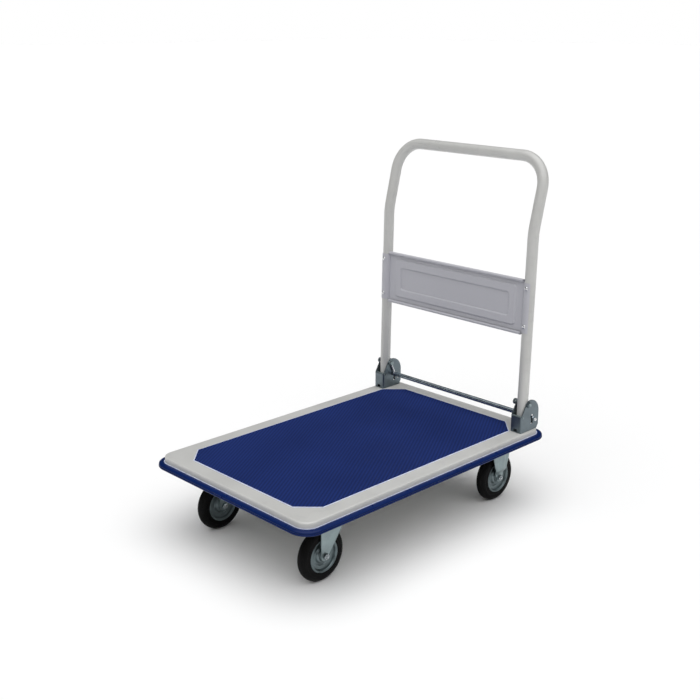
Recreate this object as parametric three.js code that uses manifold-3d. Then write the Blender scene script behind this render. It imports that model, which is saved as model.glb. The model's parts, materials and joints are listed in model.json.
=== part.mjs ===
// Folding platform cart: a pressed steel deck with a ribbed mat and a bumper strip, a tubular
// handle with a pressed panel that folds forward over the deck, a sprung foot bar that locks it,
// two swivel casters at the front and two fixed casters under the handle.
//
// Millimetres, +Z up. +X points to the handle end (rear), +Y to the left side.
// The origin is on the ground, under the middle of the deck.

import * as THREE from "three";
import { mergeVertices } from "three/addons/utils/BufferGeometryUtils.js";
import Module from "manifold-3d";

const wasm = await Module();
wasm.setup();

// ---------------------------------------------------------------- driving dimensions

const GAP = 0.3; // between pieces that touch

const WHEEL_RADIUS = 62.5; // five-inch wheel
const CASTER_HEIGHT = 165; // ground to the top of the caster plate
const CASTER_Y = 178;
const FRONT_AXLE_X = -286;
const REAR_AXLE_X = 315;
const SWIVEL_OFFSET = 22; // swivel axis behind the front axle

const PAN_TOP = 195.5;
const PAN_BOTTOM = 165 + GAP;
const PAN_SHEET = 1.8;
const PAN_HALF_X = 397;
const PAN_HALF_Y = 257;
const PAN_CORNER = 31;
const PAN_EDGE_ROUND = 3.5;

const MAT_HALF_X = 360;
const MAT_HALF_Y = 220;
const MAT_CHAMFER = 46;
const MAT_THICKNESS = 1.5;
const MAT_TOP = PAN_TOP + MAT_THICKNESS;

const BUMPER_HALF_X = 412;
const BUMPER_HALF_Y = 272.5;
const BUMPER_BOTTOM = 170;
const BUMPER_CORNER = 46;
const BUMPER_HEIGHT = 12.5;
const BUMPER_ROUND = 3;

const HANDLE_Y = 236; // centre plane of each upright and bracket
const TUBE_RADIUS = 13.5;
const TUBE_WALL = 1.6;
const PIVOT_X = 342.5;
const PIVOT_Z = MAT_TOP + 69.5;
const HANDLE_LEAN = THREE.MathUtils.degToRad(1.26); // rearward

const BRACKET_SHEET = 2.2;
const BRACKET_HALF_WIDTH = TUBE_RADIUS + 0.5 + BRACKET_SHEET;
const BRACKET_FRONT = 318;
const BRACKET_REAR = 388;
const BRACKET_TOP = MAT_TOP + 79;
const WEB_TOP = MAT_TOP + 40;

const BAR_X = 362; // foot bar
const BAR_Z = MAT_TOP + 33;
const BAR_RADIUS = 6;
const BAR_TRAVEL = 15;
const SPIGOT_RADIUS = 3.2; // the foot bar's ends, in the slots of the brackets
const TAIL_RADIUS = Math.hypot(BAR_X - PIVOT_X, PIVOT_Z - BAR_Z) - BAR_RADIUS - 0.8;

const STOP_PIN_RADIUS = 3; // the handle's tail rests against it
const STOP_PIN_X = PIVOT_X - TUBE_RADIUS - STOP_PIN_RADIUS - 1.1;
const STOP_PIN_Z = MAT_TOP + 38.5;

const FORK_INNER = 15.2; // leg's inner face from the wheel's middle plane
const FORK_SHEET = 2.5;
const FORK_OUTER = FORK_INNER + FORK_SHEET;
const AXLE_RADIUS = 4;

const BOLT_RADIUS = 4; // every bolt is M8
const BOLT_FLATS = 13;
const BOLT_HEAD = 5.3;
const NUT_HEIGHT = 6;

// ---------------------------------------------------------------- materials

const finish = (color, roughness, metalness) => () =>
  new THREE.MeshStandardMaterial({ color, roughness, metalness });

const materials = {
  mat: finish(0x20306a, 0.62, 0),
  bumper: finish(0x12286a, 0.3, 0),
  paint: finish(0xc9c9c6, 0.35, 0),
  panelPaint: finish(0xabacb2, 0.4, 0),
  zinc: finish(0x8d989c, 0.38, 0.85),
  darkZinc: finish(0x5f6b70, 0.42, 0.85),
  rubber: finish(0x121212, 0.7, 0),
  spring: finish(0xb9bdc0, 0.3, 0.9),
};

// ---------------------------------------------------------------- shape helpers

function solidOf(geometry) {
  const bare = geometry.clone();
  bare.deleteAttribute("normal");
  bare.deleteAttribute("uv");
  const merged = mergeVertices(bare, 1e-3);
  const mesh = new wasm.Mesh({
    numProp: 3,
    vertProperties: Float32Array.from(merged.attributes.position.array),
    triVerts: Uint32Array.from(merged.index.array),
  });
  return new wasm.Manifold(mesh);
}

function geometryOf(solid) {
  const mesh = solid.getMesh();
  const geometry = new THREE.BufferGeometry();
  geometry.setAttribute("position", new THREE.BufferAttribute(mesh.vertProperties, 3));
  geometry.setIndex(new THREE.BufferAttribute(mesh.triVerts, 1));
  geometry.computeVertexNormals();
  return geometry;
}

function combine(joined, cut = []) {
  let result = solidOf(joined[0]);
  for (const piece of joined.slice(1)) result = result.add(solidOf(piece));
  for (const piece of cut) result = result.subtract(solidOf(piece));
  return geometryOf(result);
}

function intersection(first, second) {
  return geometryOf(solidOf(first).intersect(solidOf(second)));
}

// A box from its lowest to its highest corner.
function block([x0, y0, z0], [x1, y1, z1]) {
  return new THREE.BoxGeometry(x1 - x0, y1 - y0, z1 - z0)
    .translate((x0 + x1) / 2, (y0 + y1) / 2, (z0 + z1) / 2);
}

// A round bar along Y, centred on (x, y, z).
function barAlongY(radius, length, x, y, z, sides = 12) {
  return new THREE.CylinderGeometry(radius, radius, length, sides).translate(x, y, z);
}

// A round bar along Z, from z0 to z1.
function barAlongZ(radius, x, y, z0, z1, sides = 12) {
  return new THREE.CylinderGeometry(radius, radius, z1 - z0, sides)
    .rotateX(Math.PI / 2)
    .translate(x, y, (z0 + z1) / 2);
}

// A shape drawn in X and Z, given thickness along Y from y0 to y1.
function plateInXZ(shape, y0, y1, curveSegments = 5) {
  return new THREE.ExtrudeGeometry(shape, { depth: y1 - y0, bevelEnabled: false, curveSegments })
    .rotateX(Math.PI / 2)
    .translate(0, y1, 0);
}

// A shape drawn in Y and Z, given length along X from x0 to x1.
function barInYZ(shape, x0, x1) {
  return new THREE.ExtrudeGeometry(shape, { depth: x1 - x0, bevelEnabled: false })
    .rotateX(Math.PI / 2)
    .rotateZ(Math.PI / 2)
    .translate(x0, 0, 0);
}

function outline(points) {
  return new THREE.Shape(points.map(([a, b]) => new THREE.Vector2(a, b)));
}

function roundedRectangle(halfX, halfY, radius) {
  const shape = new THREE.Shape();
  shape.absarc(halfX - radius, halfY - radius, radius, 0, Math.PI / 2);
  shape.absarc(radius - halfX, halfY - radius, radius, Math.PI / 2, Math.PI);
  shape.absarc(radius - halfX, radius - halfY, radius, Math.PI, 1.5 * Math.PI);
  shape.absarc(halfX - radius, radius - halfY, radius, 1.5 * Math.PI, 2 * Math.PI);
  shape.closePath();
  return shape;
}

// A slot with round ends, upright in X and Z.
function uprightSlot(x, lowZ, highZ, radius) {
  const shape = new THREE.Shape();
  shape.absarc(x, highZ, radius, 0, Math.PI);
  shape.absarc(x, lowZ, radius, Math.PI, 2 * Math.PI);
  shape.closePath();
  return shape;
}

// A closed profile of [radius, distance along the axle] points, turned about the Y axis.
function turnedAboutY(profile, segments) {
  const closed = [...profile, profile[0]];
  return new THREE.LatheGeometry(closed.map(([r, y]) => new THREE.Vector2(r, y)), segments);
}

function hexPrism(acrossFlats, length) {
  return new THREE.CylinderGeometry(acrossFlats / Math.sqrt(3), acrossFlats / Math.sqrt(3), length, 6);
}

function named(name, geometry, makeMaterial) {
  const mesh = new THREE.Mesh(geometry, makeMaterial());
  mesh.name = name;
  return mesh;
}

const SIDES = [
  { name: "left", sign: 1 },
  { name: "right", sign: -1 },
];

// ---------------------------------------------------------------- deck

function deckPan() {
  const body = new THREE.ExtrudeGeometry(
    roundedRectangle(PAN_HALF_X - PAN_EDGE_ROUND, PAN_HALF_Y - PAN_EDGE_ROUND, PAN_CORNER - PAN_EDGE_ROUND),
    {
      depth: PAN_TOP - PAN_BOTTOM - PAN_EDGE_ROUND,
      bevelThickness: PAN_EDGE_ROUND,
      bevelSize: PAN_EDGE_ROUND,
      bevelSegments: 2,
      curveSegments: 5,
    },
  ).translate(0, 0, PAN_BOTTOM);
  const inside = new THREE.ExtrudeGeometry(
    roundedRectangle(PAN_HALF_X - PAN_SHEET, PAN_HALF_Y - PAN_SHEET, PAN_CORNER - PAN_SHEET),
    { depth: PAN_TOP - PAN_SHEET - PAN_EDGE_ROUND - PAN_BOTTOM + 20, bevelEnabled: false, curveSegments: 5 },
  ).translate(0, 0, PAN_BOTTOM - 20);
  const crown = new THREE.ExtrudeGeometry(
    roundedRectangle(PAN_HALF_X - PAN_EDGE_ROUND, PAN_HALF_Y - PAN_EDGE_ROUND, PAN_CORNER - PAN_EDGE_ROUND),
    { depth: PAN_EDGE_ROUND + 1, bevelEnabled: false, curveSegments: 5 },
  ).translate(0, 0, PAN_TOP - PAN_SHEET - PAN_EDGE_ROUND - 1);
  const belowFlange = block(
    [-BUMPER_HALF_X, -BUMPER_HALF_Y, PAN_BOTTOM - 30],
    [BUMPER_HALF_X, BUMPER_HALF_Y, PAN_BOTTOM],
  );
  return combine([body], [inside, crown, belowFlange]);
}

function deckMat() {
  const shape = outline([
    [MAT_HALF_X, MAT_CHAMFER - MAT_HALF_Y],
    [MAT_HALF_X, MAT_HALF_Y - MAT_CHAMFER],
    [MAT_HALF_X - MAT_CHAMFER, MAT_HALF_Y],
    [MAT_CHAMFER - MAT_HALF_X, MAT_HALF_Y],
    [-MAT_HALF_X, MAT_HALF_Y - MAT_CHAMFER],
    [-MAT_HALF_X, MAT_CHAMFER - MAT_HALF_Y],
    [MAT_CHAMFER - MAT_HALF_X, -MAT_HALF_Y],
    [MAT_HALF_X - MAT_CHAMFER, -MAT_HALF_Y],
  ]);
  return new THREE.ExtrudeGeometry(shape, { depth: MAT_THICKNESS - GAP, bevelEnabled: false })
    .translate(0, 0, PAN_TOP + GAP);
}

function bumperStrip() {
  const inset = BUMPER_ROUND;
  const shape = roundedRectangle(BUMPER_HALF_X - inset, BUMPER_HALF_Y - inset, BUMPER_CORNER - inset);
  const hole = roundedRectangle(PAN_HALF_X + GAP + inset, PAN_HALF_Y + GAP + inset, PAN_CORNER + GAP + inset);
  shape.holes.push(hole);
  return new THREE.ExtrudeGeometry(shape, {
    depth: BUMPER_HEIGHT - 2 * BUMPER_ROUND,
    bevelThickness: BUMPER_ROUND,
    bevelSize: BUMPER_ROUND,
    bevelSegments: 1,
    curveSegments: 5,
  }).translate(0, 0, BUMPER_BOTTOM + BUMPER_ROUND);
}

// A hat section: flat below, open above, with a flange along each top edge.
function hatSection(halfWidth, flange, bottom, top, sheet) {
  return outline([
    [-halfWidth, bottom],
    [halfWidth, bottom],
    [halfWidth, top - sheet],
    [halfWidth + flange, top - sheet],
    [halfWidth + flange, top],
    [halfWidth - sheet, top],
    [halfWidth - sheet, bottom + sheet],
    [sheet - halfWidth, bottom + sheet],
    [sheet - halfWidth, top],
    [-halfWidth - flange, top],
    [-halfWidth - flange, top - sheet],
    [-halfWidth, top - sheet],
  ]);
}

const HAT_BOTTOM = CASTER_HEIGHT + GAP;
const HAT_TOP = PAN_TOP - PAN_SHEET - GAP;
const HAT_SHEET = 2.5;
const CROSS_HALF_WIDTH = 54;
const CROSS_FLANGE = 14;
const CROSS_HALF_LENGTH = 245;
const STIFFENER_Y = 95;
const STIFFENER_HALF_WIDTH = 20;
const STIFFENER_FLANGE = 12;

function crossChannel(x) {
  const section = hatSection(CROSS_HALF_WIDTH, CROSS_FLANGE, HAT_BOTTOM, HAT_TOP, HAT_SHEET);
  return plateInXZ(section, -CROSS_HALF_LENGTH, CROSS_HALF_LENGTH).translate(x, 0, 0);
}

function stiffener(y, frontX, rearX) {
  const section = hatSection(STIFFENER_HALF_WIDTH, STIFFENER_FLANGE, HAT_BOTTOM, HAT_TOP, HAT_SHEET);
  return barInYZ(section, frontX, rearX).translate(0, y, 0);
}

function deck() {
  const group = new THREE.Group();
  const frontCrossX = FRONT_AXLE_X + SWIVEL_OFFSET;
  const crossReach = CROSS_HALF_WIDTH + CROSS_FLANGE + 2;
  group.add(
    named("deck_pan", deckPan(), materials.paint),
    named("deck_mat", deckMat(), materials.mat),
    named("bumper_strip", bumperStrip(), materials.bumper),
    named("cross_channel_front", crossChannel(frontCrossX), materials.paint),
    named("cross_channel_rear", crossChannel(REAR_AXLE_X), materials.paint),
  );
  for (const side of SIDES) {
    const geometry = stiffener(side.sign * STIFFENER_Y, frontCrossX + crossReach, REAR_AXLE_X - crossReach);
    group.add(named(`stiffener_${side.name}`, geometry, materials.paint));
  }
  return group;
}

// ---------------------------------------------------------------- handle brackets

const BOLT_X = 331; // the bolt that holds each bracket down
const WEB_NOTCH_HALF_WIDTH = 6;
const WEB_NOTCH_HEIGHT = 9;
const KEYHOLE_RADIUS = 6; // the wide top of the foot bar's slot
const SPACER_X = 376; // the rivet and spacer that hold the plates apart at the rear
const SPACER_Z = MAT_TOP + 22;
const SPACER_RADIUS = 6;
const SPACER_RIVET_RADIUS = 2.3;

function bracketSide() {
  const bottom = PAN_TOP + GAP;
  const arcRadius = 36;
  const shape = new THREE.Shape();
  shape.moveTo(BRACKET_FRONT, bottom);
  shape.lineTo(BRACKET_REAR - 6, bottom);
  shape.lineTo(BRACKET_REAR, bottom + 10);
  shape.lineTo(BRACKET_REAR, BRACKET_TOP - arcRadius);
  shape.absarc(BRACKET_REAR - arcRadius, BRACKET_TOP - arcRadius, arcRadius, 0, Math.PI / 2);
  shape.quadraticCurveTo(BRACKET_FRONT + 21, BRACKET_TOP - 1, BRACKET_FRONT + 16, BRACKET_TOP - 14);
  shape.lineTo(BRACKET_FRONT + 1, WEB_TOP);
  shape.lineTo(BRACKET_FRONT, WEB_TOP);
  shape.closePath();
  return shape;
}

// One bracket about the plane y = 0.
function bracket() {
  const w = BRACKET_HALF_WIDTH;
  const bottom = PAN_TOP + GAP;
  const innerFace = w - BRACKET_SHEET;
  const plates = [-1, 1].map((s) =>
    plateInXZ(bracketSide(), Math.min(s * innerFace, s * w), Math.max(s * innerFace, s * w)));
  const web = block([BRACKET_FRONT, -w, bottom], [BRACKET_FRONT + BRACKET_SHEET, w, WEB_TOP]);
  const floor = block([BRACKET_FRONT, -w, bottom], [BRACKET_REAR - 12, w, bottom + BRACKET_SHEET]);

  const notch = block(
    [BRACKET_FRONT - 1, -WEB_NOTCH_HALF_WIDTH, bottom + BRACKET_SHEET],
    [BRACKET_FRONT + BRACKET_SHEET + 1, WEB_NOTCH_HALF_WIDTH, bottom + WEB_NOTCH_HEIGHT],
  );
  const through = 2 * w + 2;
  const holes = [
    barAlongY(BOLT_RADIUS + 0.2, through, PIVOT_X, 0, PIVOT_Z),
    barAlongY(STOP_PIN_RADIUS + 0.15, through, STOP_PIN_X, 0, STOP_PIN_Z, 12),
    barAlongZ(BOLT_RADIUS + 0.2, BOLT_X, 0, bottom - 1, bottom + BRACKET_SHEET + 1),
    barAlongY(SPACER_RIVET_RADIUS + 0.2, through, SPACER_X, 0, SPACER_Z, 10),
  ];
  const lowestBar = BAR_Z - BAR_TRAVEL - GAP;
  const keyhole = [
    uprightSlot(BAR_X, lowestBar, BAR_Z + GAP, SPIGOT_RADIUS + 0.4),
    uprightSlot(BAR_X, BAR_Z, BAR_Z + GAP, KEYHOLE_RADIUS),
  ].map((shape) => plateInXZ(shape, -w - 1, w + 1));
  return combine([plates[0], plates[1], web, floor], [notch, ...holes, ...keyhole]);
}

const SPRING_GAP = 4.2; // between the inboard plate and the pivot bolt's head
const SPRING_RADIUS = 3;
const SPRING_OUT = 1.4; // of the spring, past the middle of that gap
const PIVOT_BOLT_REACH = 9; // of its tip past the outboard plate
const STOP_PIN_PROUD = 1.5; // past the outboard plate
const STOP_PIN_SUNK = 1.4; // below the inboard plate's face

function pivotBolt(inboard) {
  const inner = inboard * (BRACKET_HALF_WIDTH + SPRING_GAP);
  const outer = -inboard * (BRACKET_HALF_WIDTH + PIVOT_BOLT_REACH);
  const shank = barAlongY(BOLT_RADIUS, Math.abs(inner - outer), PIVOT_X, (inner + outer) / 2, PIVOT_Z);
  const head = hexPrism(BOLT_FLATS, BOLT_HEAD).translate(PIVOT_X, inner + (inboard * BOLT_HEAD) / 2, PIVOT_Z);
  return combine([shank, head]);
}

function pivotNut(inboard) {
  const y = -inboard * (BRACKET_HALF_WIDTH + GAP + NUT_HEIGHT / 2);
  return combine([hexPrism(BOLT_FLATS, NUT_HEIGHT).translate(PIVOT_X, y, PIVOT_Z)], [
    barAlongY(BOLT_RADIUS + 0.2, NUT_HEIGHT + 4, PIVOT_X, y, PIVOT_Z),
  ]);
}

// A plain body where the coil spring lies, from below the pivot bolt to above the foot bar.
function returnSpring() {
  const dx = BAR_X - PIVOT_X;
  const dz = BAR_Z - PIVOT_Z;
  const reach = Math.hypot(dx, dz);
  const start = BOLT_FLATS / Math.sqrt(3) + 0.8;
  const end = reach - BAR_RADIUS - 0.6;
  return new THREE.CylinderGeometry(SPRING_RADIUS, SPRING_RADIUS, end - start, 12)
    .translate(0, (start + end) / 2, 0)
    .rotateX(Math.PI / 2)
    .rotateY(Math.atan2(dx, dz))
    .translate(PIVOT_X, 0, PIVOT_Z);
}

function holdDownBolt() {
  const base = PAN_TOP + GAP + BRACKET_SHEET + GAP;
  const head = hexPrism(BOLT_FLATS, BOLT_HEAD).rotateX(Math.PI / 2).translate(BOLT_X, 0, base + BOLT_HEAD / 2);
  return combine([head, barAlongZ(BOLT_RADIUS, BOLT_X, 0, PAN_TOP + 0.2, base + 1)]);
}

function spacerRivet() {
  const innerFace = BRACKET_HALF_WIDTH - BRACKET_SHEET - GAP;
  const headSeat = BRACKET_HALF_WIDTH + GAP;
  const half = [
    [0, headSeat + 2.2],
    [2.6, headSeat + 1.9],
    [4.5, headSeat],
    [SPACER_RIVET_RADIUS, headSeat],
    [SPACER_RIVET_RADIUS, innerFace],
    [SPACER_RADIUS, innerFace],
  ];
  const mirrored = half.map(([r, y]) => [r, -y]).reverse();
  return turnedAboutY([...half, ...mirrored].reverse(), 16).translate(SPACER_X, 0, SPACER_Z);
}

// The pin the handle's tail rests against: proud of the outboard plate, sunk in the inboard one.
function stopPin(inboard) {
  const outerEnd = -inboard * (BRACKET_HALF_WIDTH + STOP_PIN_PROUD);
  const innerEnd = inboard * (BRACKET_HALF_WIDTH - STOP_PIN_SUNK);
  return barAlongY(STOP_PIN_RADIUS, Math.abs(outerEnd - innerEnd), STOP_PIN_X, (outerEnd + innerEnd) / 2,
    STOP_PIN_Z);
}

function bracketAssembly(side) {
  const group = new THREE.Group();
  group.position.y = side.sign * HANDLE_Y;
  const inboard = -side.sign;
  const spring = named(`return_spring_${side.name}`, returnSpring(), materials.spring);
  spring.position.y = inboard * (BRACKET_HALF_WIDTH + SPRING_GAP / 2 + SPRING_OUT);
  group.add(
    named(`bracket_${side.name}`, bracket(), materials.darkZinc),
    named(`pivot_bolt_${side.name}`, pivotBolt(inboard), materials.zinc),
    named(`pivot_nut_${side.name}`, pivotNut(inboard), materials.zinc),
    named(`stop_pin_${side.name}`, stopPin(inboard), materials.zinc),
    named(`spacer_rivet_${side.name}`, spacerRivet(), materials.zinc),
    named(`bracket_bolt_${side.name}`, holdDownBolt(), materials.zinc),
    spring,
  );
  return group;
}

// ---------------------------------------------------------------- foot bar

function footBar() {
  const shoulder = HANDLE_Y - BRACKET_HALF_WIDTH - 0.6;
  const end = HANDLE_Y + BRACKET_HALF_WIDTH + 3;
  const bar = barAlongY(BAR_RADIUS, 2 * shoulder, BAR_X, 0, BAR_Z);
  const spigot = barAlongY(SPIGOT_RADIUS, 2 * end, BAR_X, 0, BAR_Z);
  return combine([bar, spigot]);
}

// ---------------------------------------------------------------- handle

// Handle frame: origin on the pivot axis midway between the brackets, +Z up the uprights.
const BEND_Z = 425; // where the uprights turn rearward
const BEND_ANGLE = THREE.MathUtils.degToRad(12.8);
const BEND_RADIUS = 150;
const TOP_RISE = 177; // from that bend to the middle of the top bar, along the slope
const CORNER_RADIUS = 72;

// A path through straight stretches and round bends, with stations only where it turns.
class BentPath extends THREE.Curve {
  constructor(points, radii, stationsPerBend) {
    super();
    this.stations = [];
    const last = points.length - 1;
    const direction = (from, to) => to.clone().sub(from).normalize();
    this.addStation(points[0], direction(points[0], points[1]));
    for (let i = 1; i < last; i++) {
      const into = direction(points[i - 1], points[i]);
      const away = direction(points[i], points[i + 1]);
      const turn = into.angleTo(away);
      const axis = into.clone().cross(away).normalize();
      const start = points[i].clone().addScaledVector(into, -radii[i - 1] * Math.tan(turn / 2));
      const toCentre = axis.clone().cross(into);
      const centre = start.clone().addScaledVector(toCentre, radii[i - 1]);
      for (let k = 0; k <= stationsPerBend[i - 1]; k++) {
        const angle = (turn * k) / stationsPerBend[i - 1];
        const arm = toCentre.clone().multiplyScalar(-radii[i - 1]).applyAxisAngle(axis, angle);
        this.addStation(centre.clone().add(arm), into.clone().applyAxisAngle(axis, angle));
      }
    }
    this.addStation(points[last], direction(points[last - 1], points[last]));
  }

  addStation(point, tangent) {
    this.stations.push({ point: point.clone(), tangent: tangent.clone() });
  }

  stationAt(u) {
    return this.stations[Math.round(u * (this.stations.length - 1))];
  }

  getPointAt(u, target = new THREE.Vector3()) {
    return target.copy(this.stationAt(u).point);
  }

  getTangentAt(u, target = new THREE.Vector3()) {
    return target.copy(this.stationAt(u).tangent);
  }
}

function handlePath() {
  const topX = TOP_RISE * Math.sin(BEND_ANGLE);
  const topZ = BEND_Z + TOP_RISE * Math.cos(BEND_ANGLE);
  const corners = [
    [0, HANDLE_Y, -TAIL_RADIUS],
    [0, HANDLE_Y, BEND_Z],
    [topX, HANDLE_Y, topZ],
    [topX, -HANDLE_Y, topZ],
    [0, -HANDLE_Y, BEND_Z],
    [0, -HANDLE_Y, -TAIL_RADIUS],
  ].map((p) => new THREE.Vector3(...p));
  return new BentPath(corners, [BEND_RADIUS, CORNER_RADIUS, CORNER_RADIUS, BEND_RADIUS], [2, 6, 6, 2]);
}

function tubeAlong(path, radius, sides) {
  const section = new THREE.Shape();
  section.absarc(0, 0, radius, 0, 2 * Math.PI);
  return new THREE.ExtrudeGeometry(section, {
    steps: path.stations.length - 1,
    extrudePath: path,
    curveSegments: sides / 2,
  });
}

function handleTube() {
  const path = handlePath();
  const cuts = [tubeAlong(extendedEnds(path), TUBE_RADIUS - TUBE_WALL, 12)];
  for (const side of SIDES) {
    const y = side.sign * HANDLE_Y;
    const below = block([-30, y - 20, -TAIL_RADIUS - 5], [30, y + 20, -10]);
    cuts.push(combine([below], [barAlongY(TAIL_RADIUS, 50, 0, y, 0, 36)]));
    cuts.push(barAlongY(BOLT_RADIUS + 0.2, 40, 0, y, 0));
  }
  return combine([tubeAlong(path, TUBE_RADIUS, 16)], cuts);
}

// The same path with each end carried a little further, so that a bore cut along it stays open.
function extendedEnds(path) {
  const longer = Object.assign(Object.create(BentPath.prototype), path);
  longer.stations = path.stations.map(({ point, tangent }) => ({ point: point.clone(), tangent }));
  longer.stations[0].point.z -= 5;
  longer.stations[longer.stations.length - 1].point.z -= 5;
  return longer;
}

const PANEL_SHEET = 1.4;
const PANEL_LOW = 174;
const PANEL_HIGH = 312.5;
const PANEL_FACE_X = -5; // front face of the sheet, between the uprights
const WRAP_INSET = 7.5; // how much shorter the end wraps are, above and below
const WRAP_RADIUS = TUBE_RADIUS + GAP;
const WRAP_PAST_FRONT = THREE.MathUtils.degToRad(38);
const BEAD_RADIUS = 4.5; // the rolled edge above and below
const BEAD_PROUD = 6;

// The sheet seen from above: flat between the uprights, wrapped round the front of each.
function panelSection() {
  const inner = WRAP_RADIUS;
  const outer = WRAP_RADIUS + PANEL_SHEET;
  const startAngle = Math.PI + Math.acos(-PANEL_FACE_X / outer);
  const innerStart = Math.PI + Math.acos(-(PANEL_FACE_X + PANEL_SHEET) / inner);
  const endAngle = Math.PI - WRAP_PAST_FRONT;
  const shape = new THREE.Shape();
  shape.absarc(0, HANDLE_Y, outer, startAngle, endAngle, true);
  shape.absarc(0, HANDLE_Y, inner, endAngle, innerStart, false);
  shape.absarc(0, -HANDLE_Y, inner, -innerStart, -endAngle, false);
  shape.absarc(0, -HANDLE_Y, outer, -endAngle, -startAngle, true);
  shape.closePath();
  return shape;
}

const RIVET_ANGLE = THREE.MathUtils.degToRad(1); // outboard of straight ahead
const RIVET_RADIUS = 2.4;
const RIVET_HEIGHTS = [PANEL_LOW + 23.5, PANEL_HIGH - 21];

function rivetHole(side, z) {
  return new THREE.CylinderGeometry(RIVET_RADIUS + 0.25, RIVET_RADIUS + 0.25, 14, 10)
    .rotateZ(Math.PI / 2)
    .translate(-WRAP_RADIUS - 3, 0, 0)
    .rotateZ(-side.sign * RIVET_ANGLE)
    .translate(0, side.sign * HANDLE_Y, z);
}

function handlePanel() {
  const wrapped = new THREE.ExtrudeGeometry(panelSection(), {
    depth: PANEL_HIGH - PANEL_LOW - 2 * WRAP_INSET,
    bevelEnabled: false,
    curveSegments: 10,
  }).translate(0, 0, PANEL_LOW + WRAP_INSET);
  const halfWidth = HANDLE_Y - TUBE_RADIUS - 2.5;
  const back = PANEL_FACE_X + PANEL_SHEET;
  const sheet = block([PANEL_FACE_X, -halfWidth, PANEL_LOW], [back, halfWidth, PANEL_HIGH]);
  const beadX = PANEL_FACE_X - BEAD_PROUD + BEAD_RADIUS;
  const beads = [PANEL_LOW + BEAD_RADIUS, PANEL_HIGH - BEAD_RADIUS].map((z) =>
    barAlongY(BEAD_RADIUS, 2 * halfWidth, beadX, 0, z, 10));
  const raised = block(
    [PANEL_FACE_X - 2, -halfWidth + 18, PANEL_LOW + 17],
    [back, halfWidth - 18, PANEL_HIGH - 17],
  );
  const holes = SIDES.flatMap((side) => RIVET_HEIGHTS.map((z) => rivetHole(side, z)));
  return combine([wrapped, sheet, ...beads, raised], holes);
}

function panelRivet(side, z) {
  const face = WRAP_RADIUS + PANEL_SHEET + GAP;
  return new THREE.LatheGeometry([
    [0, face - PANEL_SHEET - GAP + 0.2],
    [RIVET_RADIUS, face - PANEL_SHEET - GAP + 0.2],
    [RIVET_RADIUS, face],
    [2 * RIVET_RADIUS, face],
    [1.4 * RIVET_RADIUS, face + 1.6],
    [0, face + 2],
  ].map(([r, d]) => new THREE.Vector2(r, d)), 12)
    .rotateZ(Math.PI / 2)
    .rotateZ(-side.sign * RIVET_ANGLE)
    .translate(0, side.sign * HANDLE_Y, z);
}

function handle() {
  const group = new THREE.Group();
  group.position.set(PIVOT_X, 0, PIVOT_Z);
  group.rotation.y = HANDLE_LEAN;
  group.add(
    named("handle_tube", handleTube(), materials.paint),
    named("handle_panel", handlePanel(), materials.panelPaint),
  );
  for (const side of SIDES) {
    RIVET_HEIGHTS.forEach((z, i) => {
      const level = ["lower", "upper"][i];
      group.add(named(`panel_rivet_${side.name}_${level}`, panelRivet(side, z), materials.zinc));
    });
  }
  return group;
}

// ---------------------------------------------------------------- wheels

// Wheel frame: origin on the axle, in the wheel's middle plane, axle along Y.
function tyre() {
  const half = [
    [35.8, 8.8],
    [37.4, 10.8],
    [40.4, 11.2],
    [41.4, 13.2],
    [50, 13.2],
    [56.5, 11],
    [60.8, 7],
    [WHEEL_RADIUS, 2],
  ];
  const mirrored = half.map(([r, y]) => [r, -y]).reverse();
  return turnedAboutY([...half, ...mirrored].reverse(), 28);
}

// One pressed disc: a lip over the tyre's bead, a deep wall, a flat ring, a groove and the hub.
function rimDisc(sign) {
  const face = [
    [39.9, 12.3],
    [38.7, 13.7],
    [36.2, 13],
    [33.6, 8.8],
    [33, 6.4],
    [25.2, 6.8],
    [23, 4.6],
    [20.2, 4.8],
    [17.6, 9],
    [12.9, 9.8],
    [12, 14.3],
    [9.2, 14.3],
  ];
  const back = [
    [9.2, 13],
    [10.8, 13],
    [11.8, 8.5],
    [16.8, 7.7],
    [19.4, 3.5],
    [23.4, 3.3],
    [25.6, 5.5],
    [34, 5.1],
    [34.8, 8.4],
    [36.8, 11.4],
    [39.7, 11.6],
  ];
  const profile = [...face, ...back].map(([r, y]) => [r, sign * y]);
  return turnedAboutY(sign > 0 ? profile : profile.reverse(), 16);
}

function hubBush() {
  const half = FORK_INNER - 0.5;
  const bore = AXLE_RADIUS + 0.3;
  return turnedAboutY([[bore, -half], [8.8, -half], [8.8, half], [bore, half]], 12);
}

function wheel(prefix) {
  const group = new THREE.Group();
  group.add(
    named(`${prefix}_tyre`, tyre(), materials.rubber),
    named(`${prefix}_rim_left`, rimDisc(1), materials.zinc),
    named(`${prefix}_rim_right`, rimDisc(-1), materials.zinc),
    named(`${prefix}_hub_bush`, hubBush(), materials.zinc),
  );
  return group;
}

const AXLE_PAST_NUT = 1.5; // the bolt's tip past its nut

function axleBolt(headSide) {
  const face = FORK_OUTER + GAP;
  const head = hexPrism(BOLT_FLATS, BOLT_HEAD).translate(0, headSide * (face + BOLT_HEAD / 2), 0);
  const length = 2 * face + NUT_HEIGHT + AXLE_PAST_NUT + 1;
  const shank = barAlongY(AXLE_RADIUS, length, 0, (-headSide * (NUT_HEIGHT + AXLE_PAST_NUT - 1)) / 2, 0);
  return combine([head, shank]);
}

function axleNut(headSide) {
  const y = -headSide * (FORK_OUTER + GAP + NUT_HEIGHT / 2);
  return combine([hexPrism(BOLT_FLATS, NUT_HEIGHT).translate(0, y, 0)], [
    barAlongY(AXLE_RADIUS + 0.2, NUT_HEIGHT + 4, 0, y, 0),
  ]);
}

// ---------------------------------------------------------------- casters

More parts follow.
